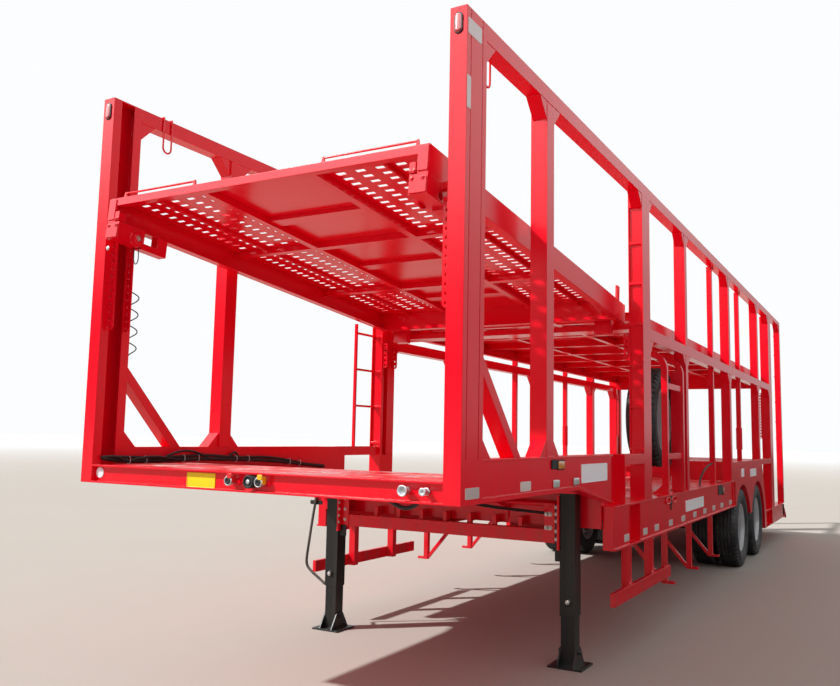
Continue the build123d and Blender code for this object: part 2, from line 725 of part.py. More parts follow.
# Landing legs, square tubes with an inner leg and a folded sand shoe
LEG_Y = 970
LEG_SIZE = 110
INNER_LEG = 98
LEG_TOP = neck_level(LEG_CROSS + CROSS_WIDTH) - FLOOR - FLANGE - NECK_CROSS_DEPTH
LEG_TUBE_END = 330
SHOE_SIZE = 237
SHOE_HEIGHT = 125
SHOE_PLATE = 12
with BuildPart() as landing_legs:
    for side in SIDES:
        y = side * LEG_Y
        half = LEG_SIZE / 2
        between(LEG_STATION - half, LEG_STATION + half, y - half, y + half, LEG_TUBE_END, LEG_TOP)
        half = INNER_LEG / 2
        between(LEG_STATION - half, LEG_STATION + half, y - half, y + half, SHOE_PLATE, LEG_TUBE_END)
        half = SHOE_SIZE / 2
        between(LEG_STATION - half, LEG_STATION + half, y - half, y + half, 0, SHOE_PLATE)
        for edge in (-1, 1):
            y_plate = y + edge * (INNER_LEG / 2 + 5)
            side_profile(
                [
                    (LEG_STATION - SHOE_SIZE / 2 + 8, SHOE_PLATE),
                    (LEG_STATION + SHOE_SIZE / 2 - 8, SHOE_PLATE),
                    (LEG_STATION + 40, SHOE_HEIGHT),
                    (LEG_STATION - 40, SHOE_HEIGHT),
                ],
                y_plate - 5, y_plate + 5,
            )
save("landing_legs", landing_legs.part)


# Leg gearing: mounting plates, gear boxes, cross shaft and the stowed crank
CRANK_RADIUS = 11
with BuildPart() as leg_gearing:
    for side in SIDES:
        inner = side * (LEG_Y - LEG_SIZE / 2)
        between(
            LEG_STATION - 75, NECK_END - 32, inner, inner - side * 14, 760, LEG_TOP - 20
        )
    shaft_y = LEG_Y - LEG_SIZE / 2 - 14
    with BuildSketch(Plane.XZ.offset(-shaft_y)):
        with Locations((x_at(LEG_STATION), GEAR_Z)):
            Circle(SHAFT_RADIUS)
    extrude(amount=2 * shaft_y)
save("leg_gearing", leg_gearing.part)

CRANK_PATH = (
    (-LEG_Y - LEG_SIZE / 2, GEAR_Z),
    (-1205, GEAR_Z),
    (-1236, 540),
    (-1190, 440),
    (-1050, 350),
)
with BuildPart() as leg_crank:
    with BuildLine(Plane.YZ.offset(x_at(LEG_STATION - 20))):
        crank_path = FilletPolyline(*CRANK_PATH, radius=30)
    with BuildSketch(Plane(crank_path @ 0, z_dir=crank_path % 0)):
        RegularPolygon(CRANK_RADIUS, 8)
    sweep(path=crank_path)
    with Locations((x_at(LEG_STATION - 20), -LEG_Y - LEG_SIZE / 2 - 22, GEAR_Z)):
        Cylinder(26, 44, rotation=(90, 0, 0))
save("leg_crank", leg_crank.part)


# Brace between the legs, a rail with short spacers up to the bulkhead
BRACE_TOP = 890
BRACE_BOTTOM = 800
with BuildPart() as leg_brace:
    inner = LEG_Y - LEG_SIZE / 2 - 14
    between(LEG_STATION - 30, LEG_STATION + 30, -inner, inner, BRACE_BOTTOM, BRACE_TOP)
    for n in range(-3, 4):
        y = n * 200
        between(LEG_STATION + 2, LEG_STATION + 30, y - 15, y + 15, BRACE_TOP, 960)
        between(LEG_STATION + 30, NECK_END - 32, y - 15, y + 15, BULKHEAD_BOTTOM, 960)
save("leg_brace", leg_brace.part)


# Side guards, a bar on two hangers
GUARD_BAR = (2300, 3900)
GUARD_TOP = 486
GUARD_HEIGHT = 90
HANGER = 60
HANGER_Y = SIDE - 30 - HANGER
CROSS_UNDERSIDE = LOW_DECK - FLOOR - FLANGE - 100
GUARD_HANGERS = (2770, 3400)
with BuildPart() as side_guards:
    for side in SIDES:
        between(
            GUARD_BAR[0], GUARD_BAR[1], side * (SIDE - 30), side * SIDE,
            GUARD_TOP - GUARD_HEIGHT, GUARD_TOP,
        )
        for station in GUARD_HANGERS:
            between(
                station, station + HANGER, side * HANGER_Y, side * (SIDE - 30),
                GUARD_TOP - GUARD_HEIGHT, RAIL_BOTTOM,
            )
save("side_guards", side_guards.part)


# Bare braced brackets behind the side guards
BRACKET_FOOT = 305
BRACKET = 45
BRACKET_Y = HANGER_Y - 20
with BuildPart() as guard_brackets:
    for side in SIDES:
        for station in BRACKET_STATIONS:
            between(
                station, station + BRACKET, side * BRACKET_Y, side * (BRACKET_Y + BRACKET),
                BRACKET_FOOT, RAIL_BOTTOM,
            )
            between(
                station, station + BRACKET, side * (BRACKET_Y + BRACKET), side * SIDE,
                BRACKET_FOOT, BRACKET_FOOT + 22,
            )
            front_profile(
                [
                    (side * BRACKET_Y, BRACKET_FOOT + BRACKET),
                    (side * BRACKET_Y, BRACKET_FOOT),
                    (side * (BRACKET_Y - 540), CROSS_UNDERSIDE),
                    (side * (BRACKET_Y - 495), CROSS_UNDERSIDE),
                ],
                station + 8, station + 36,
            )
save("guard_brackets", guard_brackets.part)


# Spare wheel on the left side, upright on a cradle inside a pair of square hoops
SPARE_STATION = 4370
SPARE_FACE = 1120
SPARE_Z = 1700
HOOP = 50
HOOPS = (3877, 4480)
HOOP_BEND = 150
HOOP_Y = SIDE - HOOP / 2
HOOP_TOP = 2290
HOOP_REACH = 210
HOOP_FOOT = 85
BACKING_WIDTH = 60
CRADLE_TOP = SPARE_Z - TYRE_RADIUS + 60
CRADLE_DEPTH = 50
with BuildPart() as spare_rack:
    for station in HOOPS:
        with BuildLine(Plane.YZ.offset(x_at(station))):
            hoop_path = FilletPolyline(
                (HOOP_Y, LOW_DECK),
                (HOOP_Y, HOOP_TOP - HOOP / 2),
                (HOOP_Y - HOOP_REACH, HOOP_TOP - HOOP / 2),
                radius=HOOP_BEND,
            )
        with BuildSketch(Plane(hoop_path @ 0, z_dir=hoop_path % 0)):
            Rectangle(HOOP, HOOP)
        sweep(path=hoop_path)
        front_profile(
            [
                (HOOP_Y - HOOP / 2, LOW_DECK),
                (HOOP_Y - HOOP / 2, LOW_DECK + HOOP_FOOT),
                (HOOP_Y - HOOP / 2 - HOOP_FOOT, LOW_DECK),
            ],
            station - 8, station + 8,
        )
        between(
            station - HOOP / 2, station + HOOP / 2, SPARE_FACE - TYRE_WIDTH, HOOP_Y - HOOP / 2,
            CRADLE_TOP - CRADLE_DEPTH, CRADLE_TOP,
        )
    for z in (1355, 1955):
        between(HOOPS[0], HOOPS[1], HOOP_Y - 12, HOOP_Y + 12, z, z + HOOP)
    between(HOOPS[0], HOOPS[1], HOOP_Y - HOOP_REACH, HOOP_Y - HOOP_REACH + 36, HOOP_TOP - 43, HOOP_TOP - 7)
    between(
        HOOPS[1] - HOOP / 2, HOOPS[1] + HOOP / 2, HOOP_Y - HOOP / 2 - BACKING_WIDTH, HOOP_Y - HOOP / 2,
        LOW_DECK, HOOP_TOP - HOOP_BEND,
    )
    for y in (SPARE_FACE - 70, SPARE_FACE - TYRE_WIDTH + 50):
        between(HOOPS[0], HOOPS[1], y, y + 20, CRADLE_TOP - CRADLE_DEPTH, CRADLE_TOP)
    with Locations((x_at(SPARE_STATION), SPARE_FACE - TYRE_WIDTH / 2, SPARE_Z)):
        Cylinder(TYRE_RADIUS, TYRE_WIDTH + 10, rotation=(90, 0, 0), mode=Mode.SUBTRACT)
save("spare_rack", spare_rack.part)


def turned(points, x, z, mode=Mode.ADD):
    """A ring about the Y direction through (x, z), turned from (y, radius) corners."""
    with BuildSketch(Plane(origin=(x, 0, z), x_dir=(0, 1, 0), z_dir=(1, 0, 0))) as section:
        with BuildLine():
            Polyline(*points, close=True)
        make_face()
    revolve(section.sketch, axis=Axis((x, 0, z), (0, 1, 0)), mode=mode)


BEAD = RIM_RADIUS - 12
SHOULDER = TYRE_RADIUS - 16
SIDEWALL = (BEAD + TYRE_RADIUS) / 2


def tyre(face, way, x, z):
    """One tyre; face is its outer side's Y and way is the direction towards that side."""
    far = face - way * TYRE_WIDTH
    turned(
        [
            (face - way * 24, BEAD),
            (face, SIDEWALL),
            (face - way * 18, SHOULDER),
            (face - way * 50, TYRE_RADIUS),
            (far + way * 50, TYRE_RADIUS),
            (far + way * 18, SHOULDER),
            (far, SIDEWALL),
            (far + way * 24, BEAD),
        ],
        x, z,
    )


DISC = 14
DISC_BORE = 85
DISC_SETBACK = (TYRE_WIDTH + DUAL_SPACING) / 2


def rim(face, way, x, z):
    """A steel disc wheel under the tyre whose outer side is at face."""
    lip = face - way * 24
    far = face - way * (TYRE_WIDTH - 24)
    disc = face - way * DISC_SETBACK
    turned(
        [
            (lip, BEAD),
            (lip, BEAD - 14),
            (lip - way * 40, BEAD - 32),
            (disc + way * 106, BEAD - 34),
            (disc + way * 31, 215),
            (disc + way * DISC, 160),
            (disc + way * DISC, DISC_BORE),
            (disc, DISC_BORE),
            (disc, 165),
            (disc + way * 19, 225),
            (disc + way * 71, BEAD - 32),
            (far, BEAD - 14),
            (far, BEAD),
        ],
        x, z,
    )


# Spare tyre and its rim
with BuildPart() as spare_tyre:
    tyre(SPARE_FACE, 1, x_at(SPARE_STATION), SPARE_Z)
save("spare_tyre", spare_tyre.part)

with BuildPart() as spare_rim:
    rim(SPARE_FACE, 1, x_at(SPARE_STATION), SPARE_Z)
save("spare_rim", spare_rim.part)


# Road wheels, each pair of tyres and rims on one hub with its brake drum
HUB_RADIUS = 85
SPINDLE_RADIUS = 40
SPINDLE_CLEARANCE = 0.1
DRUM_RADIUS = 205
HUB_FACE = TYRE_OUTER_FACE - DISC_SETBACK
DRUM_INNER = 745
AXLE_Z = TYRE_RADIUS
SIDE_NAMES = {1: "left", -1: "right"}
for number, station in enumerate(AXLE_STATIONS, start=1):
    for side in SIDES:
        x = x_at(station)
        outer_face = side * TYRE_OUTER_FACE
        inner_face = side * (TYRE_OUTER_FACE - DUAL_SPACING)
        hub = side * HUB_FACE
        with BuildPart() as tyres:
            tyre(outer_face, side, x, AXLE_Z)
            tyre(inner_face, side, x, AXLE_Z)
        save(f"tyres_{number}_{SIDE_NAMES[side]}", tyres.part)
        with BuildPart() as wheel:
            rim(outer_face, side, x, AXLE_Z)
            rim(inner_face - side * TYRE_WIDTH, -side, x, AXLE_Z)
            bore = SPINDLE_RADIUS + SPINDLE_CLEARANCE
            turned(
                [
                    (side * DRUM_INNER, DRUM_RADIUS),
                    (hub - side * DISC, DRUM_RADIUS),
                    (hub - side * DISC, HUB_RADIUS),
                    (hub + side * 110, HUB_RADIUS),
                    (hub + side * 130, 55),
                    (hub + side * 130, 0),
                    (hub + side * 40, 0),
                    (hub + side * 40, bore),
                    (hub - side * 120, bore),
                    (hub - side * 120, HUB_RADIUS - 10),
                    (hub - side * 2 * DISC, HUB_RADIUS - 10),
                    (hub - side * 2 * DISC, DRUM_RADIUS - 14),
                    (side * DRUM_INNER, DRUM_RADIUS - 14),
                ],
                x, AXLE_Z,
            )
        save(f"wheels_{number}_{SIDE_NAMES[side]}", wheel.part)


# Axle beams with their spindles
AXLE_RADIUS = 63
SPINDLE_END = HUB_FACE + 30
with BuildPart() as axles:
    for station in AXLE_STATIONS:
        turned(
            [
                (-SPINDLE_END, 0),
                (-SPINDLE_END, SPINDLE_RADIUS),
                (-HUB_FACE + 130, SPINDLE_RADIUS),
                (-HUB_FACE + 150, AXLE_RADIUS),
                (HUB_FACE - 150, AXLE_RADIUS),
                (HUB_FACE - 130, SPINDLE_RADIUS),
                (SPINDLE_END, SPINDLE_RADIUS),
                (SPINDLE_END, 0),
            ],
            x_at(station), AXLE_Z,
        )
save("axles", axles.part)


# Leaf springs on saddles over the axles, with an equaliser bar between each pair
SPRING_Y = 600
SPRING_WIDTH = 76
SPRING_HALF = 400
SPRING_EYE = 650
SPRING_SAG = 90
SPRING_END_HEIGHT = 26
SPRING_INNER = SPRING_Y - SPRING_WIDTH / 2
SPRING_OUTER = SPRING_Y + SPRING_WIDTH / 2
with BuildPart() as leaf_springs:
    for station in AXLE_STATIONS:
        for side in SIDES:
            x = x_at(station)
            front, back = x + SPRING_HALF, x - SPRING_HALF
            with BuildSketch(Plane.XZ.offset(-(side * SPRING_Y + SPRING_WIDTH / 2))):
                with BuildLine():
                    ThreePointArc((back, SPRING_EYE), (x, SPRING_EYE - SPRING_SAG), (front, SPRING_EYE))
                    Line((front, SPRING_EYE), (front, SPRING_EYE + SPRING_END_HEIGHT))
                    ThreePointArc(
                        (front, SPRING_EYE + SPRING_END_HEIGHT),
                        (x, SPRING_EYE - SPRING_SAG + 70),
                        (back, SPRING_EYE + SPRING_END_HEIGHT),
                    )
                    Line((back, SPRING_EYE + SPRING_END_HEIGHT), (back, SPRING_EYE))
                make_face()
            extrude(amount=SPRING_WIDTH)
            between(
                station - 60, station + 60, side * SPRING_INNER, side * SPRING_OUTER,
                AXLE_Z + 20, SPRING_EYE - SPRING_SAG + 10,
            )
            with Locations((x, side * SPRING_Y, AXLE_Z)):
                Cylinder(AXLE_RADIUS, 2 * SPRING_WIDTH, rotation=(90, 0, 0), mode=Mode.SUBTRACT)
save("leaf_springs", leaf_springs.part)

SPRING_TOP = SPRING_EYE + SPRING_END_HEIGHT
HANGER_INNER = SPRING_INNER - 30
EQUALISER = (AXLE_STATIONS[0] + SPRING_HALF - 20, AXLE_STATIONS[1] - SPRING_HALF + 20)
# (station, half length at the beam, half length at the foot, foot)
SPRING_HANGERS = (
    (AXLE_STATIONS[0] - SPRING_HALF - 10, 80, 35, SPRING_TOP),
    ((AXLE_STATIONS[0] + AXLE_STATIONS[1]) / 2, 150, 45, SPRING_TOP),
    (AXLE_STATIONS[1] + SPRING_HALF + 10, 35, 35, SPRING_TOP),
)
with BuildPart() as spring_hangers:
    for side in SIDES:
        for station, half, half_foot, foot in SPRING_HANGERS:
            top = ARCH_BEAM_BOTTOM if station < ARCH_DECK_END - 260 else SPRING_TOP + 160
            side_profile(
                [
                    (station - half, top),
                    (station + half, top),
                    (station + half_foot, foot),
                    (station - half_foot, foot),
                ],
                side * HANGER_INNER, side * (HANGER_INNER + 18),
            )
            between(
                station - half_foot, station + half_foot, side * HANGER_INNER, side * SPRING_OUTER,
                SPRING_TOP, SPRING_TOP + 24,
            )
        station = SPRING_HANGERS[2][0]
        between(
            station - 35, station + 35, side * BEAM_OUTER, side * HANGER_INNER,
            SPRING_TOP + 24, SPRING_TOP + 160,
        )
        between(
            EQUALISER[0], EQUALISER[1], side * SPRING_INNER, side * SPRING_OUTER,
            SPRING_TOP, SPRING_TOP + 44,
        )
save("spring_hangers", spring_hangers.part)


# Air tanks on brackets between the beams
TANK_RADIUS = 110
TANK_LENGTH = 700
TANK_Z = 810
TANK_STATION = 6455
with BuildPart() as air_tanks:
    for y in (-170, 170):
        with Locations((x_at(TANK_STATION), y, TANK_Z)):
            Cylinder(TANK_RADIUS, TANK_LENGTH, rotation=(0, 90, 0))
        for station in (6180, 6730):
            between(station - 20, station + 20, y - 15, y + 15, TANK_Z, CROSS_UNDERSIDE)
save("air_tanks", air_tanks.part)


# Air and electric couplings on the bolster's web
WEB_STATION = 30
COUPLING_Z = 1262
# (Y, radius, reach ahead of the web)
COUPLINGS = ((-94, 24, 52), (42, 26, 50), (108, 24, 52), (959, 26, 50), (1065, 18, 50))
with BuildPart() as couplings:
    for y, radius, reach in COUPLINGS:
        with BuildSketch(Plane.YZ.offset(x_at(WEB_STATION))):
            with Locations((y, COUPLING_Z)):
                Circle(radius)
        extrude(amount=reach)
save("couplings", couplings.part)


# Lamps: oval markers on the front posts, side markers, and the tail clusters
MARKER_Y = 1205
MARKER_Z = 3456
MARKER_WIDTH = 46
MARKER_HEIGHT = 106
with BuildPart() as lamps:
    for side in SIDES:
        with BuildSketch(Plane.YZ.offset(x_at(0))):
            with Locations((side * MARKER_Y, MARKER_Z)):
                SlotOverall(MARKER_HEIGHT, MARKER_WIDTH, rotation=90)
        extrude(amount=12)
        between(1235, 1355, side * (SIDE - WEB_SETBACK), side * (SIDE + 4), 1334, 1390)
        between(TAIL_POST + RAIL_WIDTH, TAIL_POST + RAIL_WIDTH + 30, side * 1165, side * 1245, 330, 500)
save("lamps", lamps.part)


# Hooks of round bar that hang over the top rails
HOOK_RADIUS = 6
HOOK_STATION = 430
HOOK_SPREAD = 34
HOOK_LOW = 3350
with BuildPart() as rope_hooks:
    for side in SIDES:
        y = side * (SIDE - RAIL_WIDTH - HOOK_RADIUS - 1)
        top = HEIGHT + HOOK_RADIUS + 1
        for station in (HOOK_STATION - HOOK_SPREAD, HOOK_STATION + HOOK_SPREAD):
            with BuildLine(Plane.YZ.offset(x_at(station))):
                leg = FilletPolyline(
                    (side * (SIDE - 20), top), (y, top), (y, HOOK_LOW), radius=HOOK_RADIUS + 1
                )
            with BuildSketch(Plane(leg @ 0, z_dir=leg % 0)):
                RegularPolygon(HOOK_RADIUS, 8)
            sweep(path=leg)
        with BuildLine(Plane.XZ.offset(-y)):
            bow = ThreePointArc(
                (x_at(HOOK_STATION - HOOK_SPREAD), HOOK_LOW),
                (x_at(HOOK_STATION), HOOK_LOW - HOOK_SPREAD),
                (x_at(HOOK_STATION + HOOK_SPREAD), HOOK_LOW),
            )
        with BuildSketch(Plane(bow @ 0, z_dir=bow % 0)):
            RegularPolygon(HOOK_RADIUS, 8)
        sweep(path=bow)
save("rope_hooks", rope_hooks.part)


# Outboard ladder on the right side, between a rail and the ladder column
LADDER_FOOT = 2775
with BuildPart() as side_ladder:
    between(LADDER_FOOT + 8, LADDER_FOOT + 28, -SIDE + 18, -SIDE + 42, FASCIA_TOP, 2490)
    for n in range(1, 4):
        z = RUNG_FIRST + n * RUNG_PITCH
        between(LADDER_FOOT + 28, LADDER_COLUMN, -SIDE + 20, -SIDE + 40, z, z + 18)
save("side_ladder", side_ladder.part)


# Front platform, tilted about the pin at its rear: deep side beams and shallow ribs, with
# two slotted tracks beside a plain middle
TRACK_INNER = 400
RIB_DEPTH = 40
RIB_WIDTH = 50
TRACK_RIB = 775
TRACK_RIB_DEPTH = 25
SLOT_LENGTH = 58
SLOT_WIDTH = 30
SLOT_PITCH = 72
SLOT_ROWS = (470, 592, 714, 836, 958)
SHEET = 4
DECK_BEAM_WIDTH = 60
slope = math.radians(PLATFORM_SLOPE)
platform_plane = Plane(
    origin=(x_at(PLATFORM_PIN[0]), 0, PLATFORM_PIN[1]),
    x_dir=(math.cos(slope), 0, math.sin(slope)),
    z_dir=(-math.sin(slope), 0, math.cos(slope)),
)
PLATFORM_TOP = 72
PLATFORM_LENGTH = (PLATFORM_PIN[0] - PLATFORM_FRONT) / math.cos(slope)
PLATFORM_TAIL = PLATFORM_PIN[0] - PLATFORM_REAR


def local_block(x_a, x_b, y_a, y_b, z_a, z_b, mode=Mode.ADD):
    """A plate or bar between two corners of the plane that is being worked on."""
    with Locations(((x_a + x_b) / 2, (y_a + y_b) / 2, (z_a + z_b) / 2)):
        Box(abs(x_b - x_a), abs(y_b - y_a), abs(z_b - z_a), mode=mode)


# (front face of the cross rib, depth)
PLATFORM_CROSS = ((210, 150), (1090, RIB_DEPTH), (2165, RIB_DEPTH))
MIDDLE_RIBS = (680, 1620, 2620)
FRONT_BAR = 46
LUG_FOOT_X = 78
LUG_FOOT_Z = -170
STOP_TAB_X = 210
STOP_TAB_HEIGHT = 110
with BuildPart(platform_plane) as front_platform:
    low = PLATFORM_TOP - PLATFORM_DEPTH
    rib_low = PLATFORM_TOP - SHEET - RIB_DEPTH
    for side in SIDES:
        outer = side * PLATFORM_HALF_WIDTH
        web = outer - side * PLATE
        flange = outer - side * DECK_BEAM_WIDTH
        local_block(PLATFORM_TAIL, PLATFORM_LENGTH, outer, web, low, PLATFORM_TOP)
        for z in (low, PLATFORM_TOP - PLATE):
            local_block(PLATFORM_TAIL, PLATFORM_LENGTH, web, flange, z, z + PLATE)
        local_block(PLATFORM_LENGTH - 12, PLATFORM_LENGTH, web, flange, low, PLATFORM_TOP)
        local_block(
            PLATFORM_TAIL, PLATFORM_LENGTH - 40, side * TRACK_INNER, side * (TRACK_INNER - RIB_WIDTH),
            rib_low, PLATFORM_TOP - SHEET,
        )
        local_block(
            PLATFORM_TAIL, PLATFORM_LENGTH - 40, side * (TRACK_RIB - 5), side * (TRACK_RIB + 5),
            PLATFORM_TOP - SHEET - TRACK_RIB_DEPTH, PLATFORM_TOP - SHEET,
        )
        local_block(
            STOP_TAB_X, STOP_TAB_X + 60, outer, outer - side * 16,
            PLATFORM_TOP, PLATFORM_TOP + STOP_TAB_HEIGHT,
        )
        for edge in (LUG_Y - LUG_THICKNESS / 2 - 6, LUG_Y + LUG_THICKNESS / 2 + 24):
            y = side * edge
            local_block(-40, PLATFORM_CROSS[0][0], y, y - side * 18, -45, rib_low + 5)
            with Locations(Location((0, y - side * 9, 0), (90, 0, 0))):
                Cylinder(PIN_RADIUS + 0.05, 18, mode=Mode.SUBTRACT)
        local_block(
            LUG_FOOT_X, LUG_FOOT_X + 65, side * (LUG_Y - 34), side * (LUG_Y + 100), LUG_FOOT_Z, rib_low
        )
    inner = PLATFORM_HALF_WIDTH - PLATE
    local_block(
        PLATFORM_LENGTH - 40, PLATFORM_LENGTH, -inner, inner, PLATFORM_TOP - FRONT_BAR, PLATFORM_TOP
    )
    for x, depth in PLATFORM_CROSS:
        under = PLATFORM_TOP - SHEET
        local_block(x, x + RIB_WIDTH, -inner, inner, under - depth, under)
    for x in MIDDLE_RIBS:
        local_block(x, x + 2 * RIB_WIDTH, -TRACK_INNER, TRACK_INNER, rib_low + 15, PLATFORM_TOP - SHEET)
save("front_platform", front_platform.part)

SLOT_FIRST = 330
SLOT_COUNT = int((PLATFORM_LENGTH - 90 - SLOT_FIRST) / SLOT_PITCH)
with BuildPart(platform_plane) as platform_sheets:
    for side in SIDES:
        low_y, high_y = sorted((side * TRACK_INNER, side * (PLATFORM_HALF_WIDTH - DECK_BEAM_WIDTH)))
        local_block(PLATFORM_TAIL, PLATFORM_LENGTH - 40, low_y, high_y, PLATFORM_TOP - SHEET, PLATFORM_TOP)
        middle = (SLOT_FIRST + PLATFORM_LENGTH - 90) / 2
        for y in SLOT_ROWS:
            with Locations((middle, side * y, PLATFORM_TOP)):
                with GridLocations(SLOT_PITCH, 1, SLOT_COUNT, 1):
                    Box(SLOT_WIDTH, SLOT_LENGTH, 4 * SHEET, mode=Mode.SUBTRACT)
    local_block(
        PLATFORM_TAIL, PLATFORM_LENGTH - 40, -TRACK_INNER, TRACK_INNER,
        PLATFORM_TOP - SHEET, PLATFORM_TOP,
    )
save("platform_sheets", platform_sheets.part)

# Slider housings under the front corners, with a stay behind them and with arms and shoes in
# the posts' slots, and the stop bars on the front edge
ARM_X = 3144
ARM_Z = -91
HOUSING_INNER = 985
HOUSING_DEPTH = 100
HOUSING_REAR = 3095
STAY_REAR = 2895
STAY_TAB = 75
STOP_BAR = (445, 1000)
STOP_HEIGHT = 46
stop_plane = Plane(
    origin=platform_plane.from_local_coords((PLATFORM_LENGTH - 40, 0, 0)),
    x_dir=(0, 1, 0),
    z_dir=platform_plane.x_dir,
)
with BuildPart(platform_plane) as platform_sliders:
    beam_low = PLATFORM_TOP - PLATFORM_DEPTH
    foot = beam_low - HOUSING_DEPTH
    for side in SIDES:
        outer = side * PLATFORM_HALF_WIDTH
        local_block(HOUSING_REAR, PLATFORM_LENGTH, outer, side * HOUSING_INNER, foot, beam_low)
        with Locations(Location((HOUSING_REAR + 62, side * (HOUSING_INNER + 50), foot + 32), (90, 0, 0))):
            Cylinder(22, 2 * HOUSING_DEPTH, mode=Mode.SUBTRACT)
        stay = (side * (HOUSING_INNER + 20), side * (HOUSING_INNER + 80))
        local_block(STAY_REAR, HOUSING_REAR, *stay, foot - 12, foot + 28)
        local_block(STAY_REAR, STAY_REAR + STAY_TAB, *stay, foot + 28, beam_low)
        local_block(ARM_X - 18, ARM_X + 18, outer, side * 1180, ARM_Z - 18, ARM_Z + 18)
        local_block(ARM_X - 50, ARM_X + 50, side * 1176, side * 1234, ARM_Z - 30, ARM_Z + 30)
        for y in STOP_BAR:
            with BuildSketch(stop_plane):
                with BuildLine():
                    Polyline(
                        (side * (y - 14), PLATFORM_TOP),
                        (side * (y + 14), PLATFORM_TOP),
                        (side * (y + 4), PLATFORM_TOP + STOP_HEIGHT),
                        (side * (y - 4), PLATFORM_TOP + STOP_HEIGHT),
                        close=True,
                    )
                make_face()
            extrude(amount=10)
        middle = side * (STOP_BAR[0] + STOP_BAR[1]) / 2
        with Locations(Location((PLATFORM_LENGTH - 35, middle, PLATFORM_TOP + STOP_HEIGHT - 8), (90, 0, 0))):
            Cylinder(6, STOP_BAR[1] - STOP_BAR[0] - 14)
save("platform_sliders", platform_sliders.part)


# Rear deck, level and hinged at its front
rear_plane = Plane(origin=(x_at(REAR_DECK_PIN[0]), 0, REAR_DECK_PIN[1]))
DECK_TOP = UPPER_DECK - REAR_DECK_PIN[1]
DECK_FRONT = REAR_DECK_PIN[0] - REAR_DECK_FRONT
DECK_REAR = REAR_DECK_PIN[0] - REAR_DECK_REAR
REAR_CROSS = 9
with BuildPart(rear_plane) as rear_deck:
    low = DECK_TOP - REAR_DECK_DEPTH
    rib_low = DECK_TOP - SHEET - 1.5 * RIB_DEPTH
    for side in SIDES:
        outer = side * REAR_DECK_HALF_WIDTH
        web = outer - side * PLATE
        flange = outer - side * DECK_BEAM_WIDTH
        local_block(DECK_REAR, DECK_FRONT, outer, web, low, DECK_TOP)
        for z in (low, DECK_TOP - PLATE):
            local_block(DECK_REAR, DECK_FRONT, web, flange, z, z + PLATE)
        local_block(
            DECK_REAR, DECK_FRONT, side * TRACK_INNER, side * (TRACK_INNER - RIB_WIDTH),
            rib_low, DECK_TOP - SHEET,
        )
        for edge in (LUG_Y - LUG_THICKNESS / 2 - 6, LUG_Y + LUG_THICKNESS / 2 + 24):
            y = side * edge
            local_block(DECK_FRONT - 130, 40, y, y - side * 18, -40, rib_low + 5)
            with Locations(Location((0, y - side * 9, 0), (90, 0, 0))):
                Cylinder(PIN_RADIUS + 0.05, 18, mode=Mode.SUBTRACT)
    inner = REAR_DECK_HALF_WIDTH - PLATE
    step = (DECK_FRONT - DECK_REAR - 160) / (REAR_CROSS - 1)
    for n in range(REAR_CROSS):
        x = DECK_REAR + 20 + n * step
        local_block(x, x + 60, -inner, inner, rib_low, DECK_TOP - SHEET)
    local_block(DECK_REAR, DECK_REAR + 70, -inner, inner, low - 100, rib_low)
save("rear_deck", rear_deck.part)

with BuildPart(rear_plane) as rear_deck_sheets:
    edge = REAR_DECK_HALF_WIDTH - DECK_BEAM_WIDTH
    local_block(DECK_REAR, DECK_FRONT, -edge, edge, DECK_TOP - SHEET, DECK_TOP)
save("rear_deck_sheets", rear_deck_sheets.part)

REAR_ARM_X = -(10604 - REAR_DECK_PIN[0])
REAR_ARM_Z = -80
with BuildPart(rear_plane) as rear_sliders:
    for side in SIDES:
        outer = side * (REAR_DECK_HALF_WIDTH - 15)
        local_block(REAR_ARM_X - 30, DECK_REAR, outer, outer - side * 30, REAR_ARM_Z - 30, REAR_ARM_Z + 60)
        local_block(REAR_ARM_X - 18, REAR_ARM_X + 18, outer, side * 1150, REAR_ARM_Z - 18, REAR_ARM_Z + 18)
        local_block(
            REAR_ARM_X - 60, REAR_ARM_X + 60, side * 1146, side * 1234, REAR_ARM_Z - 30, REAR_ARM_Z + 30
        )
save("rear_sliders", rear_sliders.part)
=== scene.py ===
"""Looks of a red double-deck car carrier semi-trailer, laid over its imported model."""

import math

import bpy
import numpy as np
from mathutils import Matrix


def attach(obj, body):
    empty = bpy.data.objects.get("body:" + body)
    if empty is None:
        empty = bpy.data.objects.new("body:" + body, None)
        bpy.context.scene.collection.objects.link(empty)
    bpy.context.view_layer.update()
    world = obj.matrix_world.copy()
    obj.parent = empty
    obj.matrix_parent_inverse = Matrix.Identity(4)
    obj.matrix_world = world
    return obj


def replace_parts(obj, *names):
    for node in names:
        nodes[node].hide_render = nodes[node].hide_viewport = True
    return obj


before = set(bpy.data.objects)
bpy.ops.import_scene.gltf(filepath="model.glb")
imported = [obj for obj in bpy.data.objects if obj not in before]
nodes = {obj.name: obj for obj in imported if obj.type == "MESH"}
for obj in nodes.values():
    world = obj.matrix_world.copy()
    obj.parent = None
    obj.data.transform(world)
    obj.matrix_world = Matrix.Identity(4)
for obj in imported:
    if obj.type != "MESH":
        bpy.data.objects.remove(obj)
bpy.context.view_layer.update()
scene = bpy.context.scene
scene.view_settings.view_transform = "Standard"


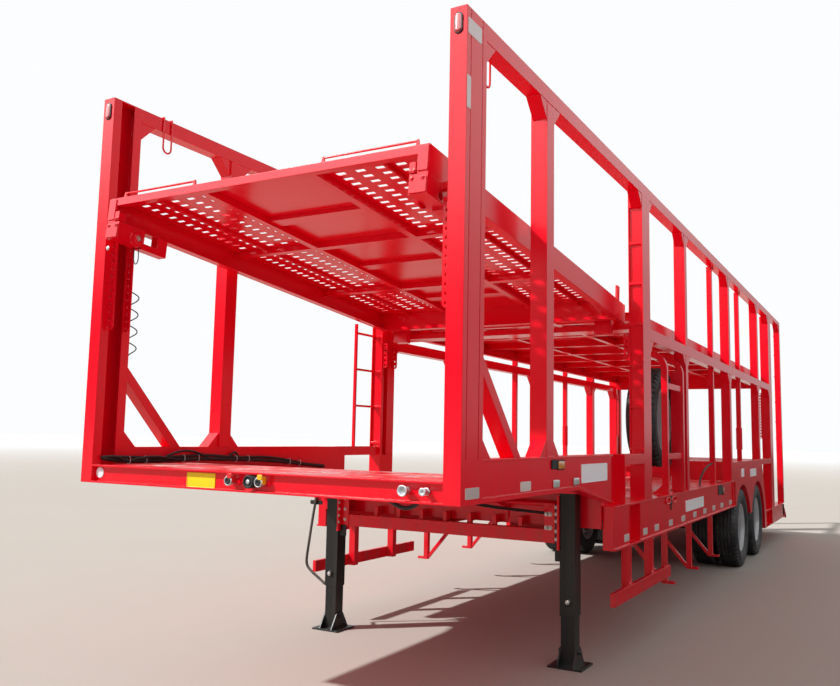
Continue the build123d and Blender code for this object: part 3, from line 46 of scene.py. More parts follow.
# Camera. It stands ahead of the left front corner at about chest height, looks back along the
# trailer and leans a little, as the straight edges of the photograph say.
CAMERA_PLACE = (9.4402, 2.9358, 1.5153)
CAMERA_YAW = math.radians(209.728)
CAMERA_PITCH = math.radians(6.309)
CAMERA_ROLL = math.radians(1.128)
PICTURE_WIDTH = 840
FOCAL_PIXELS = 835.67
SENSOR_WIDTH = 36.0
look = np.array(
    (
        math.cos(CAMERA_YAW) * math.cos(CAMERA_PITCH),
        math.sin(CAMERA_YAW) * math.cos(CAMERA_PITCH),
        math.sin(CAMERA_PITCH),
    )
)
level_right = np.array((math.sin(CAMERA_YAW), -math.cos(CAMERA_YAW), 0.0))
level_up = np.cross(level_right, look)
right = math.cos(CAMERA_ROLL) * level_right + math.sin(CAMERA_ROLL) * level_up
up = -math.sin(CAMERA_ROLL) * level_right + math.cos(CAMERA_ROLL) * level_up
camera_data = bpy.data.cameras.new("camera")
camera_data.sensor_width = SENSOR_WIDTH
camera_data.lens = FOCAL_PIXELS * SENSOR_WIDTH / PICTURE_WIDTH
camera_data.clip_end = 400.0
camera = bpy.data.objects.new("camera", camera_data)
scene.collection.objects.link(camera)
turn = np.eye(4)
turn[:3, 0] = right
turn[:3, 1] = up
turn[:3, 2] = -look
turn[:3, 3] = CAMERA_PLACE
camera.matrix_world = turn.T.tolist()
scene.camera = camera


# Floor and backdrop. A plain pale slab reaches to the horizon, where its colour runs into the white of the
# sky behind it. Glossy rays see the floor on the shaded left side in a dark tone: a painted shade that
# the paint's reflections carry.
FLOOR_HALF = 150.0
FLOOR_COLOUR = (0.575, 0.525, 0.47, 1)
FAR_COLOUR = (0.86, 0.86, 0.86, 1)
FLOOR_MIRRORED_SHADE = (0.03, 0.026, 0.023, 1)
FLOOR_NEAR = 16.0
FLOOR_FAR = 90.0
# Y between which the mirrored floor darkens.
SHADED_FROM = 1.2
SHADED_TO = 2.2
SKY_LIGHT = 0.46
MIRRORED_SKY = 4.5
SKYLINE_AHEAD = 0.10
SKYLINE_BEHIND = 0.60


def plane_corners(half, height):
    """Four corners of a level square about the origin."""
    signs = np.array(((-1, -1), (1, -1), (1, 1), (-1, 1)), dtype=float)
    return np.column_stack((signs * half, np.full(4, height)))


floor_mesh = bpy.data.meshes.new("floor")
floor_mesh.from_pydata(plane_corners(FLOOR_HALF, 0.0).tolist(), [], [(0, 1, 2, 3)])
floor = bpy.data.objects.new("floor", floor_mesh)
scene.collection.objects.link(floor)


def new_material(name):
    """A new node material, its node tree and its Principled shader."""
    material = bpy.data.materials.new(name)
    material.use_nodes = True
    tree = material.node_tree
    return material, tree, tree.nodes["Principled BSDF"]


floor_material, tree, shader = new_material("pale_concrete")
place = tree.nodes.new("ShaderNodeTexCoord")
distance = tree.nodes.new("ShaderNodeVectorMath")
distance.operation = "LENGTH"
tree.links.new(place.outputs["Object"], distance.inputs[0])
fade = tree.nodes.new("ShaderNodeMapRange")
fade.interpolation_type = "SMOOTHSTEP"
fade.inputs["From Min"].default_value = FLOOR_NEAR
fade.inputs["From Max"].default_value = FLOOR_FAR
tree.links.new(distance.outputs["Value"], fade.inputs["Value"])
mottle = tree.nodes.new("ShaderNodeTexNoise")
mottle.inputs["Scale"].default_value = 0.55
mottle.inputs["Detail"].default_value = 6.0
tree.links.new(place.outputs["Object"], mottle.inputs["Vector"])
tint = tree.nodes.new("ShaderNodeMix")
tint.data_type = "RGBA"
tint.inputs[6].default_value = tuple(0.94 * c for c in FLOOR_COLOUR[:3]) + (1,)
tint.inputs[7].default_value = FLOOR_COLOUR
tree.links.new(mottle.outputs["Fac"], tint.inputs[0])
blend_far = tree.nodes.new("ShaderNodeMix")
blend_far.data_type = "RGBA"
blend_far.inputs[7].default_value = FAR_COLOUR
tree.links.new(fade.outputs["Result"], blend_far.inputs[0])
tree.links.new(tint.outputs[2], blend_far.inputs[6])
# Painted shade in reflections: past SHADED_FROM in Y, glossy rays see the floor in the dark tone above.
floor_paths = tree.nodes.new("ShaderNodeLightPath")
mirrored_floor = tree.nodes.new("ShaderNodeMix")
mirrored_floor.data_type = "RGBA"
mirrored_floor.inputs[7].default_value = FLOOR_MIRRORED_SHADE
sideways = tree.nodes.new("ShaderNodeSeparateXYZ")
tree.links.new(place.outputs["Object"], sideways.inputs["Vector"])
shaded_side = tree.nodes.new("ShaderNodeMapRange")
shaded_side.inputs["From Min"].default_value = SHADED_FROM
shaded_side.inputs["From Max"].default_value = SHADED_TO
tree.links.new(sideways.outputs["Y"], shaded_side.inputs["Value"])
mirrored_share = tree.nodes.new("ShaderNodeMath")
mirrored_share.operation = "MULTIPLY"
tree.links.new(shaded_side.outputs["Result"], mirrored_share.inputs[0])
tree.links.new(floor_paths.outputs["Is Glossy Ray"], mirrored_share.inputs[1])
tree.links.new(mirrored_share.outputs["Value"], mirrored_floor.inputs[0])
tree.links.new(blend_far.outputs[2], mirrored_floor.inputs[6])
tree.links.new(mirrored_floor.outputs[2], shader.inputs["Base Color"])
shader.inputs["Roughness"].default_value = 0.9
shader.inputs["Specular IOR Level"].default_value = 0.05
floor.data.materials.append(floor_material)

world = bpy.data.worlds.new("pale_sky")
scene.world = world
world.use_nodes = True
sky = world.node_tree
background = sky.nodes["Background"]
paths = sky.nodes.new("ShaderNodeLightPath")
# What glossy paint mirrors: a bright sky above a dark skyline, and more of it ahead.
direction = sky.nodes.new("ShaderNodeTexCoord")
towards = sky.nodes.new("ShaderNodeSeparateXYZ")
sky.links.new(direction.outputs["Generated"], towards.inputs["Vector"])
glare = sky.nodes.new("ShaderNodeMapRange")
glare.interpolation_type = "SMOOTHSTEP"
glare.inputs["From Min"].default_value = 0.14
glare.inputs["From Max"].default_value = 0.38
glare.inputs["To Max"].default_value = MIRRORED_SKY
sky.links.new(towards.outputs["Z"], glare.inputs["Value"])
skyline = sky.nodes.new("ShaderNodeMapRange")
skyline.inputs["From Min"].default_value = 0.5
skyline.inputs["From Max"].default_value = -0.5
skyline.inputs["To Min"].default_value = SKYLINE_AHEAD
skyline.inputs["To Max"].default_value = SKYLINE_BEHIND
sky.links.new(towards.outputs["X"], skyline.inputs["Value"])
ahead = sky.nodes.new("ShaderNodeMapRange")
ahead.inputs["From Min"].default_value = -0.2
ahead.inputs["From Max"].default_value = 0.4
ahead.inputs["To Min"].default_value = 0.15
ahead.inputs["To Max"].default_value = 1.0
sky.links.new(towards.outputs["X"], ahead.inputs["Value"])
glare_ahead = sky.nodes.new("ShaderNodeMath")
glare_ahead.operation = "MULTIPLY"
sky.links.new(glare.outputs["Result"], glare_ahead.inputs[0])
sky.links.new(ahead.outputs["Result"], glare_ahead.inputs[1])
mirrored_sky = sky.nodes.new("ShaderNodeMath")
sky.links.new(glare_ahead.outputs["Value"], mirrored_sky.inputs[0])
sky.links.new(skyline.outputs["Result"], mirrored_sky.inputs[1])
diffuse_or_mirrored = sky.nodes.new("ShaderNodeMix")
diffuse_or_mirrored.inputs[2].default_value = SKY_LIGHT
sky.links.new(paths.outputs["Is Glossy Ray"], diffuse_or_mirrored.inputs[0])
sky.links.new(mirrored_sky.outputs["Value"], diffuse_or_mirrored.inputs[3])
seen_or_lighting = sky.nodes.new("ShaderNodeMix")
seen_or_lighting.inputs[3].default_value = 1.0
sky.links.new(paths.outputs["Is Camera Ray"], seen_or_lighting.inputs[0])
sky.links.new(diffuse_or_mirrored.outputs[0], seen_or_lighting.inputs[2])
sky.links.new(seen_or_lighting.outputs[0], background.inputs["Strength"])
background.inputs["Color"].default_value = (0.97, 0.985, 1.0, 1)


# Lights. A clear sun stands ahead and to the right at about forty degrees; the shadow of the
# neck on the ground gives its direction.
SUN_FROM = np.array((0.84, -0.88, 1.0))
SUN_STRENGTH = 3.9
SUN_ANGLE = math.radians(1.5)


def facing(direction):
    """Rotation matrix whose -Z axis points along the direction."""
    back = -direction / np.linalg.norm(direction)
    side = np.cross((0, 0, 1), back)
    side /= np.linalg.norm(side)
    matrix = np.eye(4)
    matrix[:3, 0] = side
    matrix[:3, 1] = np.cross(back, side)
    matrix[:3, 2] = back
    return matrix


sun_data = bpy.data.lights.new("soft_sun", "SUN")
sun_data.energy = SUN_STRENGTH
sun_data.angle = SUN_ANGLE
sun = bpy.data.objects.new("soft_sun", sun_data)
sun.matrix_world = facing(-SUN_FROM).T.tolist()
scene.collection.objects.link(sun)


# Red frame. Every rail, post and floor is rolled or folded steel, sprayed in one coat of glossy
# signal red over welds that are not ground, with a little orange peel in the coat.
def mask_group(name, outputs):
    """A shader node group that puts out the named colours, values and normals."""
    group = bpy.data.node_groups.new(name, "ShaderNodeTree")
    for label, kind in outputs:
        group.interface.new_socket(label, in_out="OUTPUT", socket_type=kind)
    return group


def group_input(group, label, kind, value):
    """Adds a named input to a node group with its usual value."""
    socket = group.interface.new_socket(label, in_out="INPUT", socket_type=kind)
    socket.default_value = value
    return socket


# Road dirt runs down in streaks, from nothing at the upper height to its full share at the lower.
CLEAN_ABOVE = 1.45
DIRTIEST_BELOW = 0.7
spray = mask_group(
    "sprayed_coat",
    (("Color", "NodeSocketColor"), ("Roughness", "NodeSocketFloat"), ("Normal", "NodeSocketVector")),
)
group_input(spray, "Color", "NodeSocketColor", (0.6, 0.02, 0.03, 1))
group_input(spray, "Dust Color", "NodeSocketColor", (0.45, 0.30, 0.27, 1))
group_input(spray, "Streak Color", "NodeSocketColor", (0.36, 0.17, 0.12, 1))
group_input(spray, "Dust", "NodeSocketFloat", 0.12)
group_input(spray, "Gloss Roughness", "NodeSocketFloat", 0.22)
group_input(spray, "Peel", "NodeSocketFloat", 0.0006)
group_in = spray.nodes.new("NodeGroupInput")
group_out = spray.nodes.new("NodeGroupOutput")
place = spray.nodes.new("ShaderNodeTexCoord")
cloud = spray.nodes.new("ShaderNodeTexNoise")
cloud.inputs["Scale"].default_value = 1.7
cloud.inputs["Detail"].default_value = 7.0
cloud.inputs["Roughness"].default_value = 0.62
spray.links.new(place.outputs["Object"], cloud.inputs["Vector"])
cloud_range = spray.nodes.new("ShaderNodeMapRange")
cloud_range.inputs["From Min"].default_value = 0.42
cloud_range.inputs["From Max"].default_value = 0.72
spray.links.new(cloud.outputs["Fac"], cloud_range.inputs["Value"])
upward = spray.nodes.new("ShaderNodeNewGeometry")
upward_z = spray.nodes.new("ShaderNodeSeparateXYZ")
spray.links.new(upward.outputs["Normal"], upward_z.inputs["Vector"])
lying = spray.nodes.new("ShaderNodeMapRange")
lying.inputs["From Min"].default_value = 0.1
lying.inputs["From Max"].default_value = 0.95
lying.inputs["To Min"].default_value = 0.25
lying.inputs["To Max"].default_value = 1.6
spray.links.new(upward_z.outputs["Z"], lying.inputs["Value"])
dust = spray.nodes.new("ShaderNodeMath")
dust.operation = "MULTIPLY"
spray.links.new(cloud_range.outputs["Result"], dust.inputs[0])
spray.links.new(lying.outputs["Result"], dust.inputs[1])
dust_amount = spray.nodes.new("ShaderNodeMath")
dust_amount.operation = "MULTIPLY"
spray.links.new(dust.outputs["Value"], dust_amount.inputs[0])
spray.links.new(group_in.outputs["Dust"], dust_amount.inputs[1])
dusty = spray.nodes.new("ShaderNodeMix")
dusty.data_type = "RGBA"
spray.links.new(dust_amount.outputs["Value"], dusty.inputs[0])
spray.links.new(group_in.outputs["Color"], dusty.inputs[6])
spray.links.new(group_in.outputs["Dust Color"], dusty.inputs[7])
stretched = spray.nodes.new("ShaderNodeVectorMath")
stretched.operation = "MULTIPLY"
stretched.inputs[1].default_value = (7.0, 7.0, 0.55)
spray.links.new(place.outputs["Object"], stretched.inputs[0])
streak = spray.nodes.new("ShaderNodeTexNoise")
streak.inputs["Scale"].default_value = 1.6
streak.inputs["Detail"].default_value = 5.0
spray.links.new(stretched.outputs["Vector"], streak.inputs["Vector"])
streak_range = spray.nodes.new("ShaderNodeMapRange")
streak_range.inputs["From Min"].default_value = 0.46
streak_range.inputs["From Max"].default_value = 0.72
streak_range.inputs["To Max"].default_value = 0.38
spray.links.new(streak.outputs["Fac"], streak_range.inputs["Value"])
place_z = spray.nodes.new("ShaderNodeSeparateXYZ")
spray.links.new(place.outputs["Object"], place_z.inputs["Vector"])
near_road = spray.nodes.new("ShaderNodeMapRange")
near_road.inputs["From Min"].default_value = CLEAN_ABOVE
near_road.inputs["From Max"].default_value = DIRTIEST_BELOW
spray.links.new(place_z.outputs["Z"], near_road.inputs["Value"])
streak_share = spray.nodes.new("ShaderNodeMath")
streak_share.operation = "MULTIPLY"
spray.links.new(streak_range.outputs["Result"], streak_share.inputs[0])
spray.links.new(near_road.outputs["Result"], streak_share.inputs[1])
streaked = spray.nodes.new("ShaderNodeMix")
streaked.data_type = "RGBA"
spray.links.new(group_in.outputs["Streak Color"], streaked.inputs[7])
spray.links.new(streak_share.outputs["Value"], streaked.inputs[0])
spray.links.new(dusty.outputs[2], streaked.inputs[6])
spray.links.new(streaked.outputs[2], group_out.inputs["Color"])
matt = spray.nodes.new("ShaderNodeMath")
matt.operation = "MULTIPLY_ADD"
matt.inputs[1].default_value = 1.6
spray.links.new(dust_amount.outputs["Value"], matt.inputs[0])
spray.links.new(group_in.outputs["Gloss Roughness"], matt.inputs[2])
spray.links.new(matt.outputs["Value"], group_out.inputs["Roughness"])
peel = spray.nodes.new("ShaderNodeTexNoise")
peel.inputs["Scale"].default_value = 38.0
peel.inputs["Detail"].default_value = 3.0
spray.links.new(place.outputs["Object"], peel.inputs["Vector"])
peel_bump = spray.nodes.new("ShaderNodeBump")
peel_bump.inputs["Strength"].default_value = 0.35
spray.links.new(group_in.outputs["Peel"], peel_bump.inputs["Distance"])
spray.links.new(peel.outputs["Fac"], peel_bump.inputs["Height"])
soft_edges = spray.nodes.new("ShaderNodeBevel")
soft_edges.samples = 4
soft_edges.inputs["Radius"].default_value = 0.004
spray.links.new(soft_edges.outputs["Normal"], peel_bump.inputs["Normal"])
spray.links.new(peel_bump.outputs["Normal"], group_out.inputs["Normal"])


def sprayed(name, colour, dust_colour, dust_share, roughness, coat, streak_colour=None):
    """Paint sprayed on steel: the shared coat effect under its own Principled shader."""
    material, tree, shader = new_material(name)
    effect = tree.nodes.new("ShaderNodeGroup")
    effect.node_tree = spray
    effect.inputs["Color"].default_value = colour
    effect.inputs["Dust Color"].default_value = dust_colour
    effect.inputs["Streak Color"].default_value = streak_colour or dust_colour
    effect.inputs["Dust"].default_value = dust_share
    effect.inputs["Gloss Roughness"].default_value = roughness
    tree.links.new(effect.outputs["Color"], shader.inputs["Base Color"])
    tree.links.new(effect.outputs["Roughness"], shader.inputs["Roughness"])
    tree.links.new(effect.outputs["Normal"], shader.inputs["Normal"])
    shader.inputs["Coat Weight"].default_value = coat
    shader.inputs["Coat Roughness"].default_value = 0.08
    shader.inputs["Specular IOR Level"].default_value = 0.34
    return material


def dress(material, *names):
    """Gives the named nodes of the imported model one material."""
    for name in names:
        mesh = nodes[name].data
        mesh.materials.clear()
        mesh.materials.append(material)


RUST_FILM = (0.36, 0.055, 0.05, 1)
red_paint = sprayed(
    "red_paint", (0.82, 0.0015, 0.016, 1), (0.60, 0.045, 0.045, 1), 0.10, 0.20, 0.0, RUST_FILM
)
dress(
    red_paint,
    "main_beams", "crossmembers", "front_bolster", "neck_bulkhead", "coupler_plate",
    "front_deck", "low_deck", "arch_deck", "tail_deck", "neck_fascias", "side_rails",
    "arch_panels", "tail_sills", "front_posts", "side_posts", "ladder_columns", "rear_columns",
    "lifting_masts", "front_braces", "knee_gussets", "lock_strips", "top_rails", "mid_rails",
    "hinge_beam", "leg_brace", "side_guards", "guard_brackets", "spare_rack", "side_ladder", "rope_hooks",
    "front_platform", "platform_sheets", "platform_sliders", "rear_deck", "rear_deck_sheets",
    "rear_sliders", "spring_hangers", "leg_gearing",
)


# Parking legs and running gear. Castings, square tube and springs dipped in black chassis paint
# before they are bolted to the frame.
black_paint = sprayed("black_paint", (0.010, 0.0105, 0.010, 1), (0.07, 0.065, 0.055, 1), 0.15, 0.34, 0.0)
dress(black_paint, "landing_legs", "leg_crank", "axles", "leaf_springs", "air_tanks")


# Rims. Pressed steel discs with hand holes, welded into rolled rims and held to the hubs by their
# nuts, in silver paint; the spare's rim is the same.
silver_paint = sprayed("silver_paint", (0.50, 0.51, 0.53, 1), (0.25, 0.22, 0.2, 1), 0.3, 0.34, 0.2)
dress(silver_paint, "spare_rim", "wheels_1_left", "wheels_1_right", "wheels_2_left", "wheels_2_right")


# Couplings and lamps. Turned and cast alloy, left bare, screwed to the frame; the sections on
# lamps and on couplings lay their finer pieces over the plain ones.
bare_alloy = sprayed("bare_alloy", (0.55, 0.56, 0.58, 1), (0.3, 0.28, 0.25, 1), 0.2, 0.35, 0.0)
bare_alloy.node_tree.nodes["Principled BSDF"].inputs["Metallic"].default_value = 0.9
dress(bare_alloy, "couplings", "lamps")


# Tyres. Truck tyres with four zigzag grooves round the tread, blocks cut into both shoulders and
# plain sidewalls with two raised rings. They take the place of the plain ones.
TYRE_WIDTH = 0.255
TYRE_RADIUS = 0.470
LUGS = 52
# (share of a lug's pitch, whether it lies in the cut)
LUG_STEPS = ((0.0, 0), (0.05, 1), (0.32, 1), (0.37, 0), (0.68, 0))
CUT_DEPTH = 0.010
GROOVES = (0.066, 0.107, 0.148, 0.189)
GROOVE_HALF = 0.0065
GROOVE_DEPTH = 0.012
ZIGZAG = 0.0045
# X of the trailer's front face. A station counts the metres back from it.
FRONT_X = 6.1
# (radius, way in from the face, share of the shoulder's cut)
SIDEWALL = (
    (0.289, 0.024, 0), (0.299, 0.019, 0), (0.309, 0.0165, 0), (0.314, 0.013, 0), (0.330, 0.008, 0),
    (0.333, 0.0045, 0), (0.338, 0.0045, 0), (0.341, 0.006, 0), (0.362, 0.001, 0), (0.388, 0.0, 0),
    (0.408, 0.0015, 0), (0.411, -0.001, 0), (0.416, -0.001, 0), (0.419, 0.003, 0), (0.434, 0.006, 0.2),
    (0.446, 0.010, 1), (0.459, 0.017, 1), (0.465, 0.028, 1), (0.467, 0.046, 0.6),
)


def add_piece(name, points, faces, material, body, smooth=True):
    """One mesh object from points and faces, riding on the named body."""
    mesh = bpy.data.meshes.new(name)
    mesh.from_pydata(np.asarray(points).tolist(), [], faces)
    mesh.polygons.foreach_set("use_smooth", [smooth] * len(mesh.polygons))
    mesh.materials.append(material)
    mesh.update()
    piece = bpy.data.objects.new(name, mesh)
    scene.collection.objects.link(piece)
    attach(piece, body)
    return piece


def joined(parts):
    """Several (points, faces) shapes as one, each face's numbers moved on by the points before it."""
    points = np.concatenate([part_points for part_points, part_faces in parts])
    faces = []
    first = 0
    for part_points, part_faces in parts:
        faces.extend(tuple(first + n for n in face) for face in part_faces)
        first += len(part_points)
    return points, faces


def tyre(outer_face, inward, x, z):
    """One tyre about the Y direction through (x, z): the profile across it, of radius and way in from
    the outer face, is carried round by angle. Within each lug's pitch the shoulders sink to their
    cut, and the grooves sway sideways by a triangle wave that spans two lugs."""
    half = [corner + (0,) for corner in SIDEWALL]
    tread = []
    for groove in GROOVES:
        crown = TYRE_RADIUS - 0.003 * ((groove - TYRE_WIDTH / 2) / (TYRE_WIDTH / 2)) ** 2
        for side, deep in ((-1, 0), (-0.7, 1), (0.7, 1), (1, 0)):
            tread.append((crown - deep * GROOVE_DEPTH, groove + side * GROOVE_HALF, 0, 1))
    mirrored = [(r, TYRE_WIDTH - way, cut, zig) for r, way, cut, zig in reversed(half)]
    radius, way, cut, zig = np.array(half + tread + mirrored).T
    steps = np.array([(lug + share, deep) for lug in range(LUGS) for share, deep in LUG_STEPS])
    angle = steps[:, 0] * 2 * math.pi / LUGS
    wave = 4 * np.abs((steps[:, 0] / 2) % 1 - 0.5) - 1
    depth = CUT_DEPTH * steps[:, 1][:, None] * cut
    toward_middle = np.sign(TYRE_WIDTH / 2 - way)
    r = radius - 0.8 * depth
    y = way + ZIGZAG * wave[:, None] * zig + 0.6 * toward_middle * depth
    points = np.stack(
        (x + r * np.cos(angle)[:, None], outer_face + inward * y, z + r * np.sin(angle)[:, None]), axis=-1
    )
    rows, columns = r.shape
    a = np.arange(rows)[:, None] * columns + np.arange(columns - 1)
    b = (np.arange(rows)[:, None] + 1) % rows * columns + np.arange(columns - 1)
    faces = np.stack((a, a + 1, b + 1, b), axis=-1).reshape(-1, 4)
    if inward > 0:
        faces = faces[:, ::-1]
    return points.reshape(-1, 3), faces.tolist()


rubber, tree, shader = new_material("tyre_rubber")
place = tree.nodes.new("ShaderNodeTexCoord")
bloom = tree.nodes.new("ShaderNodeTexNoise")
bloom.inputs["Scale"].default_value = 9.0
bloom.inputs["Detail"].default_value = 8.0
tree.links.new(place.outputs["Object"], bloom.inputs["Vector"])
rubber_colour = tree.nodes.new("ShaderNodeValToRGB")
rubber_colour.color_ramp.elements[0].position = 0.35
rubber_colour.color_ramp.elements[0].color = (0.010, 0.010, 0.012, 1)
rubber_colour.color_ramp.elements[1].position = 0.78
rubber_colour.color_ramp.elements[1].color = (0.050, 0.047, 0.045, 1)
tree.links.new(bloom.outputs["Fac"], rubber_colour.inputs["Fac"])
tree.links.new(rubber_colour.outputs["Color"], shader.inputs["Base Color"])
grain = tree.nodes.new("ShaderNodeTexNoise")
grain.inputs["Scale"].default_value = 420.0
grain.inputs["Detail"].default_value = 3.0
tree.links.new(place.outputs["Object"], grain.inputs["Vector"])
grain_bump = tree.nodes.new("ShaderNodeBump")
grain_bump.inputs["Strength"].default_value = 0.4
grain_bump.inputs["Distance"].default_value = 0.0006
tree.links.new(grain.outputs["Fac"], grain_bump.inputs["Height"])
tree.links.new(grain_bump.outputs["Normal"], shader.inputs["Normal"])
shader.inputs["Roughness"].default_value = 0.58
shader.inputs["Specular IOR Level"].default_value = 0.35

AXLE_Z = 0.47
SPACING = 0.287
# (node, body, station, side of the vehicle)
TYRE_PAIRS = (
    ("tyres_1_left", "wheels_front_left", 7.72, 1),
    ("tyres_1_right", "wheels_front_right", 7.72, -1),
    ("tyres_2_left", "wheels_rear_left", 8.99, 1),
    ("tyres_2_right", "wheels_rear_right", 8.99, -1),
)
for node, body, station, side in TYRE_PAIRS:
    pair = [tyre(side * (1.240 - n * SPACING), -side, FRONT_X - station, AXLE_Z) for n in (0, 1)]
    points, faces = joined(pair)
    piece = add_piece("treaded_" + node, points, faces, rubber, body, smooth=False)
    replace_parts(piece, node)
points, faces = tyre(1.120, -1, FRONT_X - 4.37, 1.70)
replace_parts(add_piece("treaded_spare", points, faces, rubber, "chassis", smooth=False), "spare_tyre")


# Wheel nuts and hub caps. Ten chamfered hexagon nuts on washers with their studs standing
# through, and a domed cap over each bearing, in zinc and silver paint.
NUT_CIRCLE = 0.135
NUT_COUNT = 10
NUT = ((0.0, 0.021), (0.004, 0.021), (0.0045, 0.0165), (0.020, 0.0165), (0.0235, 0.0135))
STUD = ((0.020, 0.009), (0.034, 0.009), (0.036, 0.0075))
CAP = (
    (0.0, 0.088), (0.010, 0.088), (0.012, 0.078), (0.040, 0.074), (0.052, 0.062), (0.056, 0.040),
    (0.054, 0.026), (0.058, 0.022), (0.062, 0.012),
)
zinc = sprayed("zinc_fixings", (0.70, 0.69, 0.66, 1), (0.30, 0.24, 0.20, 1), 0.25, 0.34, 0.0)
zinc.node_tree.nodes["Principled BSDF"].inputs["Metallic"].default_value = 0.8


def banded(rings, count):
    """Faces of a tube of equal rings: quads from each ring to the next, and a face over each end."""
    start = np.arange(rings - 1)[:, None] * count
    a = start + np.arange(count)
    b = start + (np.arange(count) + 1) % count
    bands = np.stack((a, b, b + count, a + count), axis=-1).reshape(-1, 4).tolist()
    ends = [tuple(range(count - 1, -1, -1)), tuple(range((rings - 1) * count, rings * count))]
    return bands + ends


def lathe(profile, sides, place, axis, turn=0.0):
    """A turned shape: the profile, of (way along the axis, radius), is carried round the axis."""
    axis = np.array(axis, dtype=float)
    axis /= np.linalg.norm(axis)
    helper = np.array((0.0, 0.0, 1.0)) if abs(axis[2]) < 0.9 else np.array((1.0, 0.0, 0.0))
    across = np.cross(axis, helper)
    across /= np.linalg.norm(across)
    along = np.cross(axis, across)
    angles = turn + np.arange(sides) * 2 * math.pi / sides
    ring = np.cos(angles)[:, None] * across + np.sin(angles)[:, None] * along
    way, radius = np.array(profile).T[:, :, None, None]
    points = np.array(place) + way * axis + radius * ring
    return points.reshape(-1, 3), banded(len(profile), sides)


def ring_of_nuts(face, side, x, z):
    """Nuts and studs at equal angles round a circle on a disc's outer face."""
    parts = []
    for n in range(NUT_COUNT):
        angle = (n + 0.5) * 2 * math.pi / NUT_COUNT
        place = (x + NUT_CIRCLE * math.cos(angle), face, z + NUT_CIRCLE * math.sin(angle))
        parts.append(lathe(NUT, 6, place, (0, side, 0), angle))
        parts.append(lathe(STUD, 12, place, (0, side, 0)))
    return parts


for node, body, station, side in TYRE_PAIRS:
    points, faces = joined(ring_of_nuts(side * 0.983, side, FRONT_X - station, AXLE_Z))
    add_piece("nuts_" + body, points, faces, zinc, body, smooth=False)

for node, body, station, side in TYRE_PAIRS:
    points, faces = lathe(CAP, 40, (FRONT_X - station, side * 0.983, AXLE_Z), (0, side, 0))
    add_piece("cap_" + body, points, faces, silver_paint, body)


# Marks and plates. Short strips of prismatic film along the rails and fascias, and blank
# aluminium plates with a raised rim, riveted at their corners.
CORNER_STEPS = 5


def rounded_plate(centre, out, across, width, height, corner, rings):
    """A plate of rounded outline. Each ring is (inset from the outline, height off the surface) and
    runs round four quarter circles, whose radius is the corner's less the inset."""
    out = np.array(out, dtype=float)
    across = np.array(across, dtype=float)
    upward = np.cross(out, across)
    quarter = np.repeat(np.arange(4), CORNER_STEPS)
    angle = (quarter + np.tile(np.arange(CORNER_STEPS) / (CORNER_STEPS - 1), 4)) * math.pi / 2
    inset, off = np.array(rings).T[:, :, None]
    round_off = np.maximum(corner - inset, 0.0004)
    x = np.array((1, -1, -1, 1))[quarter] * (width / 2 - inset - round_off) + round_off * np.cos(angle)
    y = np.array((1, 1, -1, -1))[quarter] * (height / 2 - inset - round_off) + round_off * np.sin(angle)
    points = np.array(centre) + x[..., None] * across + y[..., None] * upward + off[..., None] * out
    return points.reshape(-1, 3), banded(len(rings), 4 * CORNER_STEPS)


FILM = ((0.0, 0.0), (0.0, 0.0012), (0.0012, 0.0022))
RIMMED = ((0.0, 0.0), (0.0, 0.003), (0.0015, 0.005), (0.006, 0.005), (0.0075, 0.003))
film, tree, shader = new_material("prismatic_film")
place = tree.nodes.new("ShaderNodeTexCoord")
cells = tree.nodes.new("ShaderNodeTexVoronoi")
cells.feature = "DISTANCE_TO_EDGE"
cells.inputs["Scale"].default_value = 260.0
cells.inputs["Randomness"].default_value = 0.1
tree.links.new(place.outputs["Object"], cells.inputs["Vector"])
film_colour = tree.nodes.new("ShaderNodeValToRGB")
film_colour.color_ramp.elements[0].position = 0.02
film_colour.color_ramp.elements[0].color = (0.52, 0.42, 0.42, 1)
film_colour.color_ramp.elements[1].position = 0.16
film_colour.color_ramp.elements[1].color = (0.80, 0.72, 0.70, 1)
tree.links.new(cells.outputs["Distance"], film_colour.inputs["Fac"])
tree.links.new(film_colour.outputs["Color"], shader.inputs["Base Color"])
film_bump = tree.nodes.new("ShaderNodeBump")
film_bump.inputs["Distance"].default_value = 0.0004
tree.links.new(cells.outputs["Distance"], film_bump.inputs["Height"])
tree.links.new(film_bump.outputs["Normal"], shader.inputs["Normal"])
shader.inputs["Roughness"].default_value = 0.3
shader.inputs["Coat Weight"].default_value = 0.6

# Y of the outer faces of the rails and of the posts.
RAIL_FACE = 1.236
POST_FACE = 1.25
# (first station, last station, lower edge, upper edge, Y of the surface)
RAIL_MARKS = (
    (2.590, 2.710, 0.797, 0.847, RAIL_FACE), (3.093, 3.213, 0.797, 0.847, RAIL_FACE),
    (3.440, 3.570, 0.797, 0.847, RAIL_FACE), (3.916, 4.046, 0.797, 0.847, RAIL_FACE),
    (4.389, 4.529, 0.797, 0.847, RAIL_FACE), (4.880, 5.020, 0.797, 0.847, RAIL_FACE),
    (5.349, 5.499, 0.797, 0.847, RAIL_FACE), (5.822, 5.972, 0.797, 0.847, RAIL_FACE),
    (6.275, 6.435, 0.797, 0.847, RAIL_FACE), (6.815, 6.985, 0.797, 0.847, RAIL_FACE),
    (0.043, 0.187, 1.233, 1.283, POST_FACE), (0.708, 0.848, 1.236, 1.286, RAIL_FACE),
    (0.012, 0.158, 3.405, 3.485, POST_FACE), (0.006, 0.046, 3.04, 3.20, POST_FACE),
)
for side, side_name in ((1, "left"), (-1, "right")):
    parts = []
    for first, last, low, high, y in RAIL_MARKS:
        centre = (FRONT_X - (first + last) / 2, side * y, (low + high) / 2)
        parts.append(
            rounded_plate(centre, (0, side, 0), (-side, 0, 0), last - first, high - low, 0.006, FILM)
        )
    points, faces = joined(parts)
    add_piece("reflective_marks_" + side_name, points, faces, film, "chassis", False)

enamel = sprayed("white_enamel", (0.93, 0.90, 0.96, 1), (0.62, 0.56, 0.55, 1), 0.35, 0.28, 0.0)
